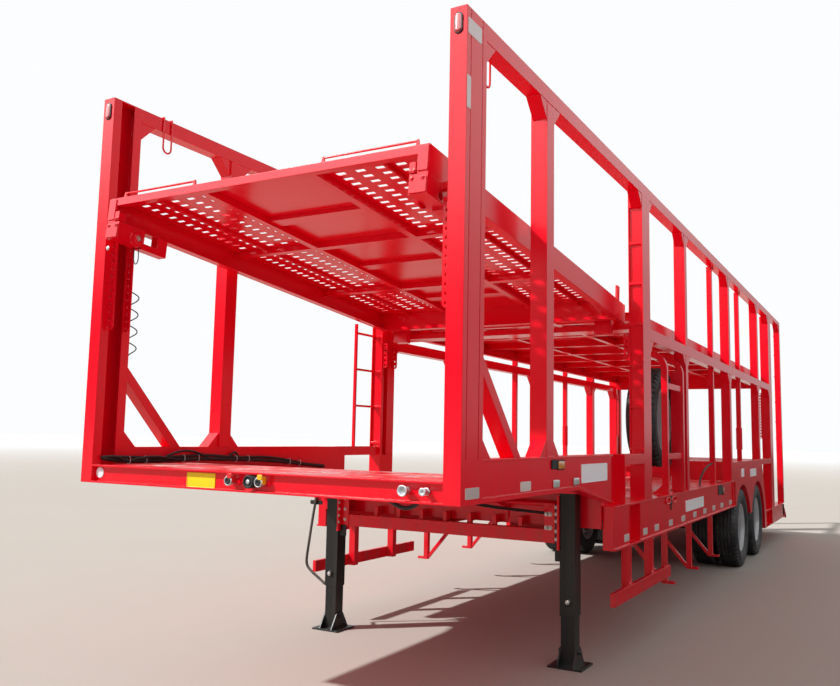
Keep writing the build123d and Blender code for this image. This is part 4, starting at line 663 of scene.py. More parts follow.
# (first station, last station, lower edge, upper edge, Y of the surface)
PLATES = (
    (1.665, 2.185, 1.242, 1.358, RAIL_FACE), (4.56, 5.36, 0.872, 0.972, RAIL_FACE),
    (7.612, 7.816, 1.085, 1.185, POST_FACE), (8.33, 8.83, 1.065, 1.165, POST_FACE),
)
parts = []
for first, last, low, high, y in PLATES:
    centre = (FRONT_X - (first + last) / 2, y, (low + high) / 2)
    parts.append(rounded_plate(centre, (0, 1, 0), (-1, 0, 0), last - first, high - low, 0.01, RIMMED))
points, faces = joined(parts)
add_piece("blank_plates", points, faces, enamel, "chassis", False)
BOLSTER_FACE = 6.070
yellow_enamel = sprayed("yellow_enamel", (0.88, 0.70, 0.01, 1), (0.60, 0.42, 0.10, 1), 0.15, 0.3, 0.0)
points, faces = rounded_plate(
    (BOLSTER_FACE, -0.324, 1.252), (1, 0, 0), (0, 1, 0), 0.206, 0.084, 0.005, RIMMED
)
add_piece("yellow_plate", points, faces, yellow_enamel, "chassis", False)
DISC = ((0.0, 0.031), (0.003, 0.031), (0.005, 0.029), (0.005, 0.026), (0.004, 0.025))
points, faces = lathe(DISC, 32, (BOLSTER_FACE, -1.12, 1.264), (1, 0, 0))
add_piece("round_mark", points, faces, enamel, "chassis", False)


# Lamps and reflectors. Domed moulded lenses with a ribbed inside in black holders; the tail
# clusters hold three lenses each. They take the place of the plain ones.
black_plastic = sprayed("black_plastic", (0.012, 0.012, 0.013, 1), (0.10, 0.085, 0.07, 1), 0.3, 0.42, 0.0)
HOLDER = ((0.0, 0.0), (0.0, 0.005), (0.002, 0.007), (0.006, 0.007))
TAIL_HOUSING = ((0.0, 0.0), (0.0, 0.018), (0.003, 0.021), (0.006, 0.021))
LENS = ((0.0, 0.003), (0.0, 0.007), (0.002, 0.0095), (0.006, 0.0112), (0.012, 0.012))


def lens(name, colour):
    """Moulded lens plastic with fine ribs across its inner side."""
    material, tree, shader = new_material(name)
    place = tree.nodes.new("ShaderNodeTexCoord")
    ribs = tree.nodes.new("ShaderNodeTexWave")
    ribs.bands_direction = "Z"
    ribs.inputs["Scale"].default_value = 70.0
    tree.links.new(place.outputs["Object"], ribs.inputs["Vector"])
    shade = tree.nodes.new("ShaderNodeMix")
    shade.data_type = "RGBA"
    shade.inputs[6].default_value = tuple(0.55 * c for c in colour[:3]) + (1,)
    shade.inputs[7].default_value = colour
    tree.links.new(ribs.outputs["Fac"], shade.inputs[0])
    tree.links.new(shade.outputs[2], shader.inputs["Base Color"])
    rib_bump = tree.nodes.new("ShaderNodeBump")
    rib_bump.inputs["Strength"].default_value = 0.25
    rib_bump.inputs["Distance"].default_value = 0.001
    tree.links.new(ribs.outputs["Fac"], rib_bump.inputs["Height"])
    tree.links.new(rib_bump.outputs["Normal"], shader.inputs["Normal"])
    shader.inputs["Roughness"].default_value = 0.22
    shader.inputs["Coat Weight"].default_value = 1.0
    return material


red_lens = lens("red_lens", (0.55, 0.008, 0.010, 1))
amber_lens = lens("amber_lens", (0.90, 0.30, 0.012, 1))
clear_lens = lens("clear_lens", (0.62, 0.63, 0.62, 1))
holders = []
red_parts = []
amber_parts = []
clear_parts = []
for side in (1, -1):
    marker = (FRONT_X, side * 1.205, 3.456)
    holders.append(rounded_plate(marker, (1, 0, 0), (0, 1, 0), 0.046, 0.106, 0.0229, HOLDER))
    red_parts.append(rounded_plate(marker, (1, 0, 0), (0, 1, 0), 0.036, 0.096, 0.0179, LENS))
    side_marker = (FRONT_X - 1.295, side * 1.238, 1.362)
    holders.append(rounded_plate(side_marker, (0, side, 0), (-side, 0, 0), 0.120, 0.056, 0.010, HOLDER))
    amber_parts.append(rounded_plate(side_marker, (0, side, 0), (-side, 0, 0), 0.100, 0.044, 0.008, LENS))
    bracket = (FRONT_X - 1.187, side * 1.238, 1.366)
    holders.append(rounded_plate(bracket, (0, side, 0), (-side, 0, 0), 0.080, 0.052, 0.006, HOLDER))
    for station in (1.22, 1.56):
        centre = (FRONT_X - station, side * RAIL_FACE, 1.258)
        clear_parts.append(rounded_plate(centre, (0, side, 0), (-side, 0, 0), 0.095, 0.044, 0.012, LENS))
    tail = (FRONT_X - 11.95, side * 1.205, 0.415)
    holders.append(rounded_plate(tail, (-1, 0, 0), (0, -1, 0), 0.080, 0.170, 0.012, TAIL_HOUSING))
    for lens_z, parts in ((0.470, red_parts), (0.415, amber_parts), (0.360, clear_parts)):
        tail_lens = (FRONT_X - 11.968, side * 1.205, lens_z)
        parts.append(rounded_plate(tail_lens, (-1, 0, 0), (0, -1, 0), 0.066, 0.047, 0.010, LENS))
points, faces = joined(holders)
holder_piece = add_piece("lamp_holders", points, faces, black_plastic, "chassis", False)
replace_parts(holder_piece, "lamps")
for name, parts, material in (
    ("red_lenses", red_parts, red_lens),
    ("amber_lenses", amber_parts, amber_lens),
    ("clear_lenses", clear_parts, clear_lens),
):
    points, faces = joined(parts)
    add_piece(name, points, faces, material, "chassis")


# Air and electric couplings on the bolster. Each has a threaded stub with a hexagon nut behind
# its body: two glad hands with coloured flaps, a ribbed socket and two bare rings.
STUB = (
    (0.0, 0.017), (0.006, 0.017), (0.006, 0.012), (0.009, 0.0135), (0.012, 0.012), (0.015, 0.0135),
    (0.018, 0.012), (0.021, 0.0135), (0.024, 0.012),
)
HEX_NUT = ((0.004, 0.018), (0.005, 0.020), (0.012, 0.020), (0.013, 0.018))
GLAD_BODY = (
    (0.020, 0.012), (0.022, 0.018), (0.030, 0.020), (0.033, 0.025), (0.036, 0.025), (0.037, 0.021),
    (0.040, 0.021), (0.041, 0.025), (0.047, 0.026), (0.049, 0.024), (0.049, 0.019), (0.045, 0.018),
)
SEAL = ((0.044, 0.0185), (0.051, 0.0175), (0.052, 0.015), (0.052, 0.008), (0.048, 0.007))
SOCKET = (
    (0.010, 0.020), (0.012, 0.033), (0.017, 0.034), (0.019, 0.027), (0.024, 0.027), (0.025, 0.030),
    (0.029, 0.030), (0.030, 0.027), (0.034, 0.027), (0.035, 0.031), (0.039, 0.033), (0.046, 0.034),
    (0.049, 0.032), (0.049, 0.025), (0.044, 0.024),
)
LID = ((0.047, 0.012), (0.050, 0.011), (0.0515, 0.006))
BARE_RING = (
    (0.018, 0.012), (0.020, 0.020), (0.030, 0.018), (0.036, 0.022), (0.044, 0.026), (0.049, 0.0265),
    (0.051, 0.025), (0.051, 0.020), (0.046, 0.017), (0.034, 0.015),
)
SMALL_RING = (
    (0.018, 0.010), (0.020, 0.015), (0.030, 0.013), (0.038, 0.016), (0.046, 0.0185), (0.050, 0.018),
    (0.050, 0.009), (0.042, 0.007),
)
FLAP = ((0.0, 0.0), (0.0, 0.004), (0.002, 0.006))
COUPLING_Z = 1.262
RED_LINE = -0.094
SOCKET_Y = 0.042
YELLOW_LINE = 0.108
metal_parts = []
dark_parts = []
for y, profile in (
    (RED_LINE, GLAD_BODY), (SOCKET_Y, SOCKET), (YELLOW_LINE, GLAD_BODY), (0.959, BARE_RING),
    (1.065, SMALL_RING),
):
    foot = (BOLSTER_FACE, y, COUPLING_Z)
    metal_parts.append(lathe(STUB, 24, foot, (1, 0, 0)))
    metal_parts.append(lathe(HEX_NUT, 6, foot, (1, 0, 0)))
    body_parts = dark_parts if profile is SOCKET else metal_parts
    body_parts.append(lathe(profile, 36, foot, (1, 0, 0)))
    if profile is GLAD_BODY:
        dark_parts.append(lathe(SEAL, 32, foot, (1, 0, 0)))
metal_parts.append(lathe(LID, 24, (BOLSTER_FACE, SOCKET_Y, COUPLING_Z), (1, 0, 0)))
points, faces = joined(metal_parts)
stub_piece = add_piece("coupling_stubs", points, faces, bare_alloy, "chassis", False)
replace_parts(stub_piece, "couplings")
points, faces = joined(dark_parts)
add_piece("coupling_bodies", points, faces, black_plastic, "chassis", False)
for name, y, colour in (
    ("red_flap", RED_LINE, (0.70, 0.01, 0.015, 1)),
    ("yellow_flap", YELLOW_LINE, (0.85, 0.50, 0.01, 1)),
):
    parts = [
        rounded_plate((6.116, y + 0.012, 1.288), (1, 0, 0), (0, 1, 0), 0.034, 0.028, 0.010, FLAP),
        rounded_plate((6.102, y + 0.024, 1.272), (0, 1, 0), (-1, 0, 0), 0.030, 0.040, 0.008, FLAP),
    ]
    points, faces = joined(parts)
    flap_paint = sprayed(name + "_plastic", colour, (0.5, 0.4, 0.3, 1), 0.15, 0.3, 0.3)
    add_piece(name, points, faces, flap_paint, "chassis", False)


# Lock strips. Flat bars with a row of drilled holes and a rounded foot, welded beside the slots;
# they take the place of the plain ones.
STRIP_PITCH = 0.044
STRIP_HOLE = 0.010
STRIP_THICK = 0.012
# Outline of a cell, as shares of half its width and half its height.
CELL_OUTLINE = (
    (1, 0), (1, 0.5), (1, 1), (0.5, 1), (0, 1), (-0.5, 1), (-1, 1), (-1, 0.5),
    (-1, 0), (-1, -0.5), (-1, -1), (-0.5, -1), (0, -1), (0.5, -1), (1, -1), (1, -0.5),
)
# (station of the rear face, inner face of the post, width, foot, holes)
STRIPS = (
    (0.056, 1.160, 0.046, 2.107, 12), (0.180, 1.160, 0.046, 2.107, 12), (3.124, 1.137, 0.046, 2.126, 5),
    (3.288, 1.137, 0.046, 2.126, 5), (10.452, 1.130, 0.036, 1.560, 16),
)


def lock_strip(x, face, side, width, foot, count):
    """Cells with a round hole each, one above the other; the lowest ends in a half circle about its
    hole. A cell's rings are its rim and its hole in front and the same two behind, and it has a
    wall along each edge that no other cell covers."""
    cell = np.array(CELL_OUTLINE) * (width / 2, STRIP_PITCH / 2)
    way = np.arctan2(cell[:, 1], cell[:, 0])
    circle = np.column_stack((np.cos(way), np.sin(way)))
    hole = STRIP_HOLE * circle
    round_foot = np.where(cell[:, 1:] < 0, width / 2 * circle, cell)
    across, upward = np.array(CELL_OUTLINE).T
    next_across, next_upward = np.roll(CELL_OUTLINE, -1, axis=0).T
    upright = (np.abs(across) == 1) & (np.abs(next_across) == 1)
    lowest = (upward < 0) | (next_upward < 0)
    top = (upward == 1) & (next_upward == 1)
    edges = len(cell)
    a = np.arange(edges)
    b = (a + 1) % edges
    bands = [np.column_stack((a, a + edges, b + edges, b)) + band * edges for band in range(3)]
    walls = np.column_stack((3 * edges + a, 3 * edges + b, b, a))
    parts = []
    for n in range(count):
        rim = round_foot if n == 0 else cell
        middle = (x, side * (face - width / 2), foot + (n + 0.5) * STRIP_PITCH)
        rings = [
            np.column_stack((np.full(edges, off), outline))
            for off, outline in ((STRIP_THICK, rim), (STRIP_THICK, hole), (0, hole), (0, rim))
        ]
        bare = upright | (lowest & (n == 0)) | (top & (n == count - 1))
        faces = np.concatenate(bands + [walls[bare]]).tolist()
        parts.append((np.array(middle) + np.concatenate(rings), faces))
    return parts


parts = []
for station, face, width, foot, count in STRIPS:
    for side in (1, -1):
        parts.extend(lock_strip(FRONT_X - station, face, side, width, foot, count))
points, faces = joined(parts)
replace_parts(add_piece("drilled_lock_strips", points, faces, red_paint, "chassis", False), "lock_strips")


# Crank of the parking legs. A bent round bar that hangs beside the right leg, with its socket on
# the gear shaft, a grip and a clip; it takes the place of the plain one.
def run(name, paths, radius, material, body, order=3, closed=False):
    """Round bar or cable: a circle of the radius carried along each smooth spline, whose control
    points are the given points."""
    curve = bpy.data.curves.new(name, "CURVE")
    curve.dimensions = "3D"
    curve.bevel_depth = radius
    curve.bevel_resolution = 3
    curve.use_fill_caps = True
    curve.resolution_u = 6
    for path in paths:
        spline = curve.splines.new("NURBS")
        spline.points.add(len(path) - 1)
        for point, place in zip(spline.points, path):
            point.co = tuple(place) + (1,)
        spline.order_u = order
        spline.use_endpoint_u = not closed
        spline.use_cyclic_u = closed
    curve.materials.append(material)
    piece = bpy.data.objects.new(name, curve)
    scene.collection.objects.link(piece)
    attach(piece, body)
    return piece


worn_bar = sprayed("worn_bar", (0.030, 0.028, 0.026, 1), (0.30, 0.26, 0.22, 1), 0.9, 0.32, 0.0)
CRANK_X = FRONT_X - 2.197
crank_path = [
    (CRANK_X, y, z)
    for y, z in (
        (-1.060, 1.060), (-1.110, 1.060), (-1.135, 1.060), (-1.152, 1.040), (-1.185, 0.880), (-1.232, 0.560),
        (-1.238, 0.515), (-1.236, 0.470), (-1.205, 0.430), (-1.130, 0.385), (-1.080, 0.355), (-1.050, 0.335),
    )
]
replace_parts(run("bent_crank", [crank_path], 0.011, worn_bar, "chassis"), "leg_crank")
SOCKET_END = (
    (0.0, 0.030), (0.004, 0.030), (0.006, 0.024), (0.040, 0.024), (0.042, 0.021), (0.060, 0.020),
    (0.062, 0.015), (0.085, 0.014),
)
points, faces = lathe(SOCKET_END, 32, (CRANK_X, -1.025, 1.060), (0, -1, 0))
add_piece("crank_socket", points, faces, black_paint, "chassis", False)


# Bolts and leg plates. Hexagon heads on washers, some bright zinc, some painted over with the
# frame; the bright ones hold the flanges and straps that join the legs to the frame.
BOLT = ((0.0, 2.0), (0.25, 2.0), (0.25, 1.12), (0.3, 1.15), (1.0, 1.15), (1.2, 0.95))


def bolt(place, axis, radius):
    """A bolt head of the given shank radius on its washer."""
    return lathe([(way * radius, r * radius) for way, r in BOLT], 6, place, axis, 0.3)


# Middle of the left leg, and X of the front faces of the straps beside both legs.
LEG_X = 3.883
LEG_Y = 0.970
FLANGE_FACE = 3.918
bright = []
for z in (0.830, 0.880, 0.930, 0.980, 1.030):
    bright.append(bolt((3.949, -0.901, z), (0, 1, 0), 0.007))
for z in (0.828, 0.882, 0.950, 0.997, 1.044):
    bright.append(bolt((3.920, 0.884, z), (1, 0, 0), 0.007))
for z in (0.902, 0.995):
    for y in (0.812, 0.838):
        bright.append(bolt((FLANGE_FACE, y, z), (1, 0, 0), 0.009))
for z in (0.850, 0.930, 1.010):
    bright.append(bolt((FLANGE_FACE, -0.866, z), (1, 0, 0), 0.007))
bright.append(bolt((FRONT_X, -1.138, 2.595), (1, 0, 0), 0.007))
points, faces = joined(bright)
add_piece("bright_bolts", points, faces, zinc, "chassis", False)
FLANGE_RINGS = ((0.0, -0.006), (0.0, 0.0), (0.0015, 0.0015))
# (piece, its paint, and the centre, width, height and corner of each of its plates)
LEG_PLATES = (
    ("leg_flanges", black_paint, (
        ((3.920, 0.899, 0.872), 0.050, 0.380, 0.004), ((3.921, -0.885, 0.765), 0.070, 0.085, 0.004),
    )),
    ("leg_straps", red_paint, (
        ((FLANGE_FACE, 0.835, 0.935), 0.080, 0.270, 0.004),
        ((FLANGE_FACE, -0.872, 0.935), 0.082, 0.270, 0.004),
        ((3.890, -1.160, 1.030), 0.060, 0.130, 0.004),
    )),
    ("crank_clip", black_paint, (((3.892, -1.168, 0.962), 0.120, 0.034, 0.012),)),
)
for name, paint, plates in LEG_PLATES:
    parts = [
        rounded_plate(centre, (1, 0, 0), (0, 1, 0), width, height, corner, FLANGE_RINGS)
        for centre, width, height, corner in plates
    ]
    points, faces = joined(parts)
    add_piece(name, points, faces, paint, "chassis", False)

painted_bolts = []
for side in (1, -1):
    for z in (1.58, 1.86, 2.19, 2.62, 2.98, 3.30):
        for station in (11.885, 11.925):
            painted_bolts.append(bolt((FRONT_X - station, side * 1.160, z), (0, -side, 0), 0.008))
    for station, z in ((6.267, 3.435), (8.077, 3.435)):
        painted_bolts.append(bolt((FRONT_X - station, side * 1.2, z), (0, side, 0), 0.010))
points, faces = joined(painted_bolts)
add_piece("painted_bolts", points, faces, red_paint, "chassis", False)


# Slider faces. Pads with a shadow gap between them close the ends of the platform's beams and
# slider housings; a boss with its pin stands round the bore on each housing's inner side.
SLOPE = math.radians(5.3)
PLATFORM_X = (math.cos(SLOPE), 0.0, math.sin(SLOPE))
PLATFORM_END = 3.2941
PINS_X = 2.87
PINS_Z = 2.5
PAD = ((0.0, 0.0), (0.0, 0.005), (0.0015, 0.0065))
LUG = ((0.0, -0.045), (0.0, 0.005), (0.002, 0.007))
BOSS = (
    (0.0, 0.050), (0.009, 0.050), (0.012, 0.046), (0.012, 0.036), (0.026, 0.035), (0.029, 0.032),
    (0.029, 0.0225), (0.004, 0.0220),
)
PIN = ((0.004, 0.0215), (0.019, 0.0215), (0.022, 0.0185), (0.022, 0.007), (0.018, 0.006))


def on_platform(x, y, z):
    """World place of a point given along, across and above the platform from its pins."""
    return (
        PINS_X + x * math.cos(SLOPE) - z * math.sin(SLOPE),
        y,
        PINS_Z + x * math.sin(SLOPE) + z * math.cos(SLOPE),
    )


pads = []
pins = []
for side in (1, -1):
    for y, z, width, height, rings in (
        (1.0555, 0.003, 0.057, 0.130, PAD),
        (1.035, -0.130, 0.094, 0.080, PAD),
        (1.003, -0.0415, 0.036, 0.056, LUG),
    ):
        centre = on_platform(PLATFORM_END, side * y, z)
        pads.append(rounded_plate(centre, PLATFORM_X, (0, 1, 0), width, height, 0.007, rings))
    for y in (1.003, 1.062):
        pads.append(bolt(on_platform(PLATFORM_END + 0.0065, side * y, -0.097), PLATFORM_X, 0.0065))
    for y in (0.993, 1.012):
        pads.append(bolt(on_platform(PLATFORM_END + 0.007, side * y, -0.059), PLATFORM_X, 0.0045))
    bore = on_platform(3.157, side * 0.985, -0.141)
    pads.append(lathe(BOSS, 40, bore, (0, -side, 0)))
    pins.append(lathe(PIN, 32, bore, (0, -side, 0)))
points, faces = joined(pads)
add_piece("slider_pads", points, faces, red_paint, "front_platform", False)
points, faces = joined(pins)
add_piece("slider_pins", points, faces, zinc, "front_platform", False)


# Wiring and air lines. All of it is tied or clipped to the frame: a bundle with pale ties at the
# foot of the right fascia, a coiled lead behind the right front post, and short hoses.
black_cable = sprayed("black_cable", (0.014, 0.013, 0.014, 1), (0.12, 0.10, 0.09, 1), 0.5, 0.45, 0.0)
pale_tie = sprayed("pale_tie", (0.62, 0.58, 0.56, 1), (0.40, 0.35, 0.32, 1), 0.3, 0.4, 0.0)
BUNDLE = (
    (0.06, 1.345), (0.14, 1.334), (0.25, 1.326), (0.47, 1.326), (0.70, 1.330), (0.92, 1.330), (1.20, 1.322),
    (1.54, 1.310), (1.80, 1.292), (2.02, 1.272), (2.26, 1.252),
)
WIRING_Y = -1.144
lower = [(FRONT_X - station, WIRING_Y, z) for station, z in BUNDLE]
upper = [(FRONT_X - 0.05, -1.146, 1.352)]
upper += [
    (FRONT_X - station, -1.140, z + 0.020 + 0.008 * math.sin(9 * station)) for station, z in BUNDLE[2:9]
]
upper += [(FRONT_X - 1.95, WIRING_Y, 1.285)]
run("wiring_lower", [lower], 0.0125, black_cable, "chassis")
run("wiring_upper", [upper], 0.0085, black_cable, "chassis")
slack = [
    [
        (5.83, -1.144, 1.330), (5.74, -1.114, 1.352), (5.62, -1.099, 1.350),
        (5.54, -1.114, 1.335), (5.46, -1.144, 1.332),
    ],
    [
        (5.58, -1.144, 1.335), (5.50, -1.124, 1.378), (5.36, -1.124, 1.388),
        (5.24, -1.134, 1.362), (5.16, -1.144, 1.335),
    ],
    [(4.98, -1.144, 1.335), (4.93, -1.134, 1.372), (4.90, -1.134, 1.372), (4.86, -1.144, 1.330)],
    [(6.03, -1.144, 1.352), (5.98, -1.124, 1.362), (5.92, -1.114, 1.340), (5.88, -1.144, 1.326)],
]
run("wiring_slack", slack, 0.0075, black_cable, "chassis")
TIE_LOOP = ((0.018, 0.0), (0.014, 0.022), (-0.010, 0.022), (-0.014, 0.0), (-0.010, -0.020), (0.014, -0.020))
bundle_stations, bundle_heights = np.array(BUNDLE).T
ties = []
for station in bundle_stations[2:-2:2]:
    for tied in (station, station + 0.13):
        height = np.interp(tied, bundle_stations, bundle_heights) + 0.006
        ties.append([(FRONT_X - tied, -1.142 + a, height + b) for a, b in TIE_LOOP])
run("wiring_ties", ties, 0.0026, pale_tie, "chassis", closed=True)

COIL_PITCH = 0.105
steps = np.arange(30)
angle = steps * math.pi / 4
turns = np.column_stack(
    (5.846 + 0.027 * np.cos(angle), -1.181 + 0.038 * np.sin(angle), 2.368 - steps * COIL_PITCH / 8)
)
coil = [(5.874, -1.190, 2.425), (5.870, -1.188, 2.395)] + turns.tolist()
coil += [(5.870, -1.188, 1.960), (5.874, -1.190, 1.930)]
run("coiled_lead", [coil], 0.0036, black_cable, "chassis")
wire_loop = [
    (5.985, y, z)
    for y, z in (
        (-1.046, 2.622), (-1.047, 2.580), (-1.042, 2.520), (-1.022, 2.505), (-1.003, 2.528), (-1.006, 2.585),
        (-1.008, 2.622),
    )
]
run("slider_wire", [wire_loop], 0.003, black_cable, "front_platform")
hoses = [
    [(6.0, 0.79, 1.222), (6.0, 0.835, 1.196), (6.0, 0.905, 1.168), (6.0, 0.965, 1.188), (6.0, 1.00, 1.222)],
    [
        (5.2, 0.62, 1.235), (5.0, 0.66, 1.150), (4.7, 0.71, 1.092), (4.3, 0.75, 1.045), (3.9, 0.79, 0.999),
        (3.775, 0.80, 0.985),
    ],
    [
        (0.49, 1.155, 1.055), (0.48, 1.155, 1.110), (0.40, 1.158, 1.170), (0.24, 1.162, 1.225),
        (0.05, 1.166, 1.262), (-0.13, 1.168, 1.275),
    ],
]
run("air_hoses", hoses, 0.0105, black_cable, "chassis")


# Rack clamp, side lamp and lashing ring. A handle with two rings and a screw holds the spare
# wheel's rack to the rail; a round lamp hangs on its lead further back.
HANDLE_X = FRONT_X - 3.98
RING_OUTLINE = ((1, 0), (0.7, 0.8), (0, 1), (-0.7, 0.8), (-1, 0), (-0.7, -0.8), (0, -1), (0.7, -0.8))
rings = [
    [(HANDLE_X + middle + 0.085 * a, 1.242, 1.012 + 0.026 * b) for a, b in RING_OUTLINE]
    for middle in (-0.11, 0.11)
]
run("clamp_rings", rings, 0.007, red_paint, "chassis", closed=True)
screw = [(HANDLE_X, 1.243, z) for z in (1.052, 1.0, 0.930)]
run("clamp_screw", [screw], 0.006, worn_bar, "chassis")
HUB = ((0.0, 0.034), (0.006, 0.034), (0.009, 0.028), (0.012, 0.018))
points, faces = lathe(HUB, 28, (HANDLE_X, RAIL_FACE, 1.006), (0, 1, 0))
add_piece("clamp_hub", points, faces, worn_bar, "chassis", False)
LAMP_BODY = ((0.0, 0.046), (0.008, 0.046), (0.011, 0.043), (0.011, 0.036))
LAMP_LENS = ((0.008, 0.034), (0.012, 0.030), (0.0138, 0.018), (0.0142, 0.008))
LAMP_PLACE = (FRONT_X - 6.43, RAIL_FACE, 0.975)
bracket = rounded_plate((FRONT_X - 6.26, RAIL_FACE, 0.990), (0, 1, 0), (-1, 0, 0), 0.22, 0.100, 0.02, HOLDER)
points, faces = joined([bracket, lathe(LAMP_BODY, 36, LAMP_PLACE, (0, 1, 0))])
add_piece("side_lamp_body", points, faces, black_plastic, "chassis", False)
points, faces = lathe(LAMP_LENS, 36, LAMP_PLACE, (0, 1, 0))
add_piece("side_lamp_lens", points, faces, amber_lens, "chassis")
lead = [
    (-0.18, 1.243, 1.02), (-0.17, 1.244, 1.05), (-0.16, 1.235, 1.075), (-0.15, 1.190, 1.078),
    (-0.14, 1.160, 1.11),
]
run("side_lamp_lead", [lead], 0.004, black_cable, "chassis")
LASHING_X = 1.40
LASHING_RADIUS = 0.055
ring = [
    (LASHING_X + LASHING_RADIUS * math.cos(angle), 1.10, 1.150 + LASHING_RADIUS * math.sin(angle))
    for angle in np.arange(10) * math.pi / 5
]
run("lashing_ring", [ring], 0.009, enamel, "chassis", closed=True)
LUG_RINGS = ((0.0, 0.0), (0.0, 0.014), (0.002, 0.016))
points, faces = rounded_plate(
    (LASHING_X, 1.092, 1.080), (0, 1, 0), (-1, 0, 0), 0.05, 0.046, 0.008, LUG_RINGS
)
add_piece("lashing_lug", points, faces, red_paint, "chassis", False)


# Shoe and leg pins. Each shoe hangs on a pin through its folded sides, and each inner leg is
# locked by a pin with a bright head.
SHOE_PIN = ((0.0, 0.020), (0.004, 0.020), (0.005, 0.013), (0.018, 0.013), (0.020, 0.011))
LOCK_PIN = ((0.0, 0.026), (0.006, 0.026), (0.008, 0.019), (0.016, 0.018), (0.018, 0.015))
parts = []
locks = []
for side in (1, -1):
    for edge in (1, -1):
        parts.append(lathe(SHOE_PIN, 24, (LEG_X, side * LEG_Y + edge * 0.059, 0.096), (0, edge, 0)))
    parts.append(lathe(LOCK_PIN, 28, (3.938, side * 0.975, 0.425), (1, 0, 0)))
    locks.append(bolt((3.955, side * 0.975, 0.425), (1, 0, 0), 0.008))
points, faces = joined(parts)
add_piece("leg_pins", points, faces, black_paint, "chassis", False)
points, faces = joined(locks)
add_piece("leg_pin_heads", points, faces, zinc, "chassis", False)


# Weld beads. A thin bead of weld, painted over with the frame, runs round the foot and the head
# of each side post.
# (first station, last station, width, lower end, upper end)
WELDED_POSTS = (
    (1.04, 1.15, 0.100, 1.41, 3.45), (4.60, 4.69, 0.100, 1.06, 2.303), (4.60, 4.69, 0.100, 2.395, 3.45),
    (6.93, 7.03, 0.100, 1.06, 2.303), (6.93, 7.03, 0.100, 2.395, 3.45), (9.23, 9.33, 0.100, 1.275, 2.303),
    (9.23, 9.33, 0.100, 2.395, 3.45), (11.86, 11.95, 0.090, 0.53, 3.48),
)
beads = []
for first, last, width, low, high in WELDED_POSTS:
    for side in (1, -1):
        for z in (low + 0.002, high - 0.002):
            corners = ((first, 1.249), (last, 1.249), (last, 1.25 - width), (first, 1.25 - width))
            beads.append([(FRONT_X - station, side * y, z) for station, y in corners])
run("weld_beads", beads, 0.0035, red_paint, "chassis", order=2, closed=True)


# Floors. The decks are chequer plate whose bars show through the coat, with bare pale patches
# where wheels and boots have worn it.
tread = mask_group("tread_plate", (("Height", "NodeSocketFloat"), ("Worn", "NodeSocketFloat")))
tread_out = tread.nodes.new("NodeGroupOutput")
place = tread.nodes.new("ShaderNodeTexCoord")
turned = tread.nodes.new("ShaderNodeMapping")
turned.inputs["Rotation"].default_value = (0.0, 0.0, math.radians(45))
turned.inputs["Scale"].default_value = (42.0, 42.0, 42.0)
tread.links.new(place.outputs["Object"], turned.inputs["Vector"])
parity = tread.nodes.new("ShaderNodeTexChecker")
parity.inputs["Scale"].default_value = 1.0
flat = tread.nodes.new("ShaderNodeVectorMath")
flat.operation = "MULTIPLY"
flat.inputs[1].default_value = (1.0, 1.0, 0.0)
tread.links.new(turned.outputs["Vector"], flat.inputs[0])
tread.links.new(flat.outputs["Vector"], parity.inputs["Vector"])
cell = tread.nodes.new("ShaderNodeVectorMath")
cell.operation = "FRACTION"
tread.links.new(flat.outputs["Vector"], cell.inputs[0])
cell_parts = tread.nodes.new("ShaderNodeSeparateXYZ")
tread.links.new(cell.outputs["Vector"], cell_parts.inputs["Vector"])
bar = []
for first, second, reach in (("X", "Y", 0.46), ("Y", "X", 0.13)):
    way = tread.nodes.new("ShaderNodeMix")
    tread.links.new(parity.outputs["Fac"], way.inputs[0])
    tread.links.new(cell_parts.outputs[first], way.inputs[2])
    tread.links.new(cell_parts.outputs[second], way.inputs[3])
    from_middle = tread.nodes.new("ShaderNodeMath")
    from_middle.operation = "SUBTRACT"
    from_middle.inputs[1].default_value = 0.5
    tread.links.new(way.outputs[0], from_middle.inputs[0])
    share = tread.nodes.new("ShaderNodeMath")
    share.operation = "DIVIDE"
    share.inputs[1].default_value = reach
    tread.links.new(from_middle.outputs["Value"], share.inputs[0])
    squared = tread.nodes.new("ShaderNodeMath")
    squared.operation = "MULTIPLY"
    tread.links.new(share.outputs["Value"], squared.inputs[0])
    tread.links.new(share.outputs["Value"], squared.inputs[1])
    bar.append(squared)
oval = tread.nodes.new("ShaderNodeMath")
tread.links.new(bar[0].outputs["Value"], oval.inputs[0])
tread.links.new(bar[1].outputs["Value"], oval.inputs[1])
raised = tread.nodes.new("ShaderNodeMapRange")
raised.interpolation_type = "SMOOTHSTEP"
raised.inputs["From Min"].default_value = 1.0
raised.inputs["From Max"].default_value = 0.4
tread.links.new(oval.outputs["Value"], raised.inputs["Value"])
tread.links.new(raised.outputs["Result"], tread_out.inputs["Height"])
scuffs = tread.nodes.new("ShaderNodeTexNoise")
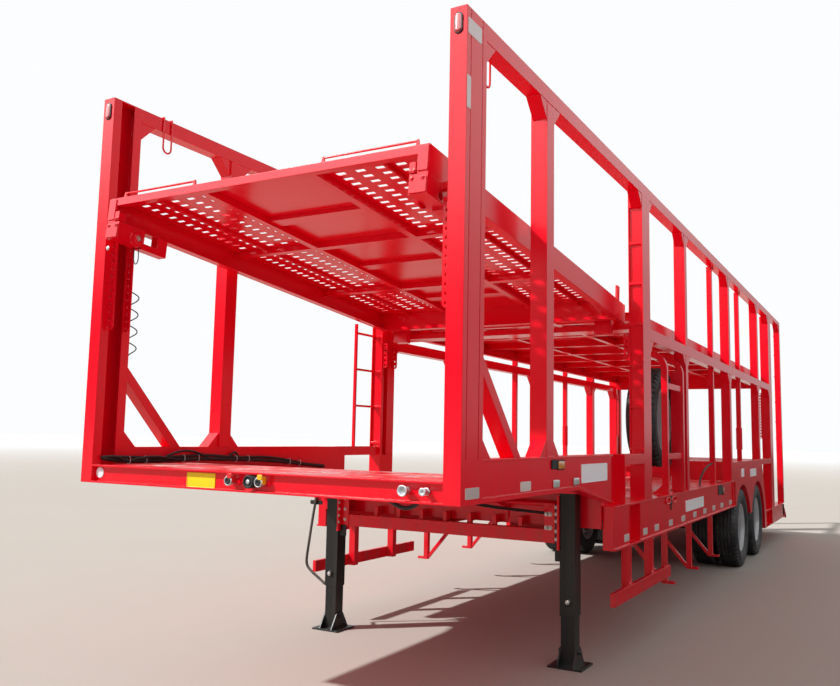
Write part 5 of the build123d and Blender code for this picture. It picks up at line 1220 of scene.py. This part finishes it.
scuffs.inputs["Scale"].default_value = 6.5
scuffs.inputs["Detail"].default_value = 9.0
scuffs.inputs["Roughness"].default_value = 0.66
tread.links.new(place.outputs["Object"], scuffs.inputs["Vector"])
scuff_range = tread.nodes.new("ShaderNodeMapRange")
scuff_range.inputs["From Min"].default_value = 0.48
scuff_range.inputs["From Max"].default_value = 0.66
tread.links.new(scuffs.outputs["Fac"], scuff_range.inputs["Value"])
facing_up = tread.nodes.new("ShaderNodeNewGeometry")
facing_up_z = tread.nodes.new("ShaderNodeSeparateXYZ")
tread.links.new(facing_up.outputs["Normal"], facing_up_z.inputs["Vector"])
on_top = tread.nodes.new("ShaderNodeMath")
on_top.operation = "MULTIPLY"
on_top.use_clamp = True
tread.links.new(scuff_range.outputs["Result"], on_top.inputs[0])
tread.links.new(facing_up_z.outputs["Z"], on_top.inputs[1])
tread.links.new(on_top.outputs["Value"], tread_out.inputs["Worn"])

floor_paint = sprayed(
    "floor_paint", (0.80, 0.002, 0.016, 1), (0.62, 0.12, 0.10, 1), 0.35, 0.24, 0.0, RUST_FILM
)
tree = floor_paint.node_tree
shader = tree.nodes["Principled BSDF"]
plate_effect = tree.nodes.new("ShaderNodeGroup")
plate_effect.node_tree = tread
worn = tree.nodes.new("ShaderNodeMix")
worn.data_type = "RGBA"
worn.inputs[7].default_value = (0.80, 0.62, 0.56, 1)
coat = shader.inputs["Base Color"].links[0].from_node
tree.links.new(plate_effect.outputs["Worn"], worn.inputs[0])
tree.links.new(coat.outputs["Color"], worn.inputs[6])
tree.links.new(worn.outputs[2], shader.inputs["Base Color"])
bars = tree.nodes.new("ShaderNodeBump")
bars.inputs["Strength"].default_value = 0.6
bars.inputs["Distance"].default_value = 0.0016
tree.links.new(plate_effect.outputs["Height"], bars.inputs["Height"])
tree.links.new(coat.outputs["Normal"], bars.inputs["Normal"])
tree.links.new(bars.outputs["Normal"], shader.inputs["Normal"])
dress(floor_paint, "front_deck", "low_deck", "arch_deck", "tail_deck")
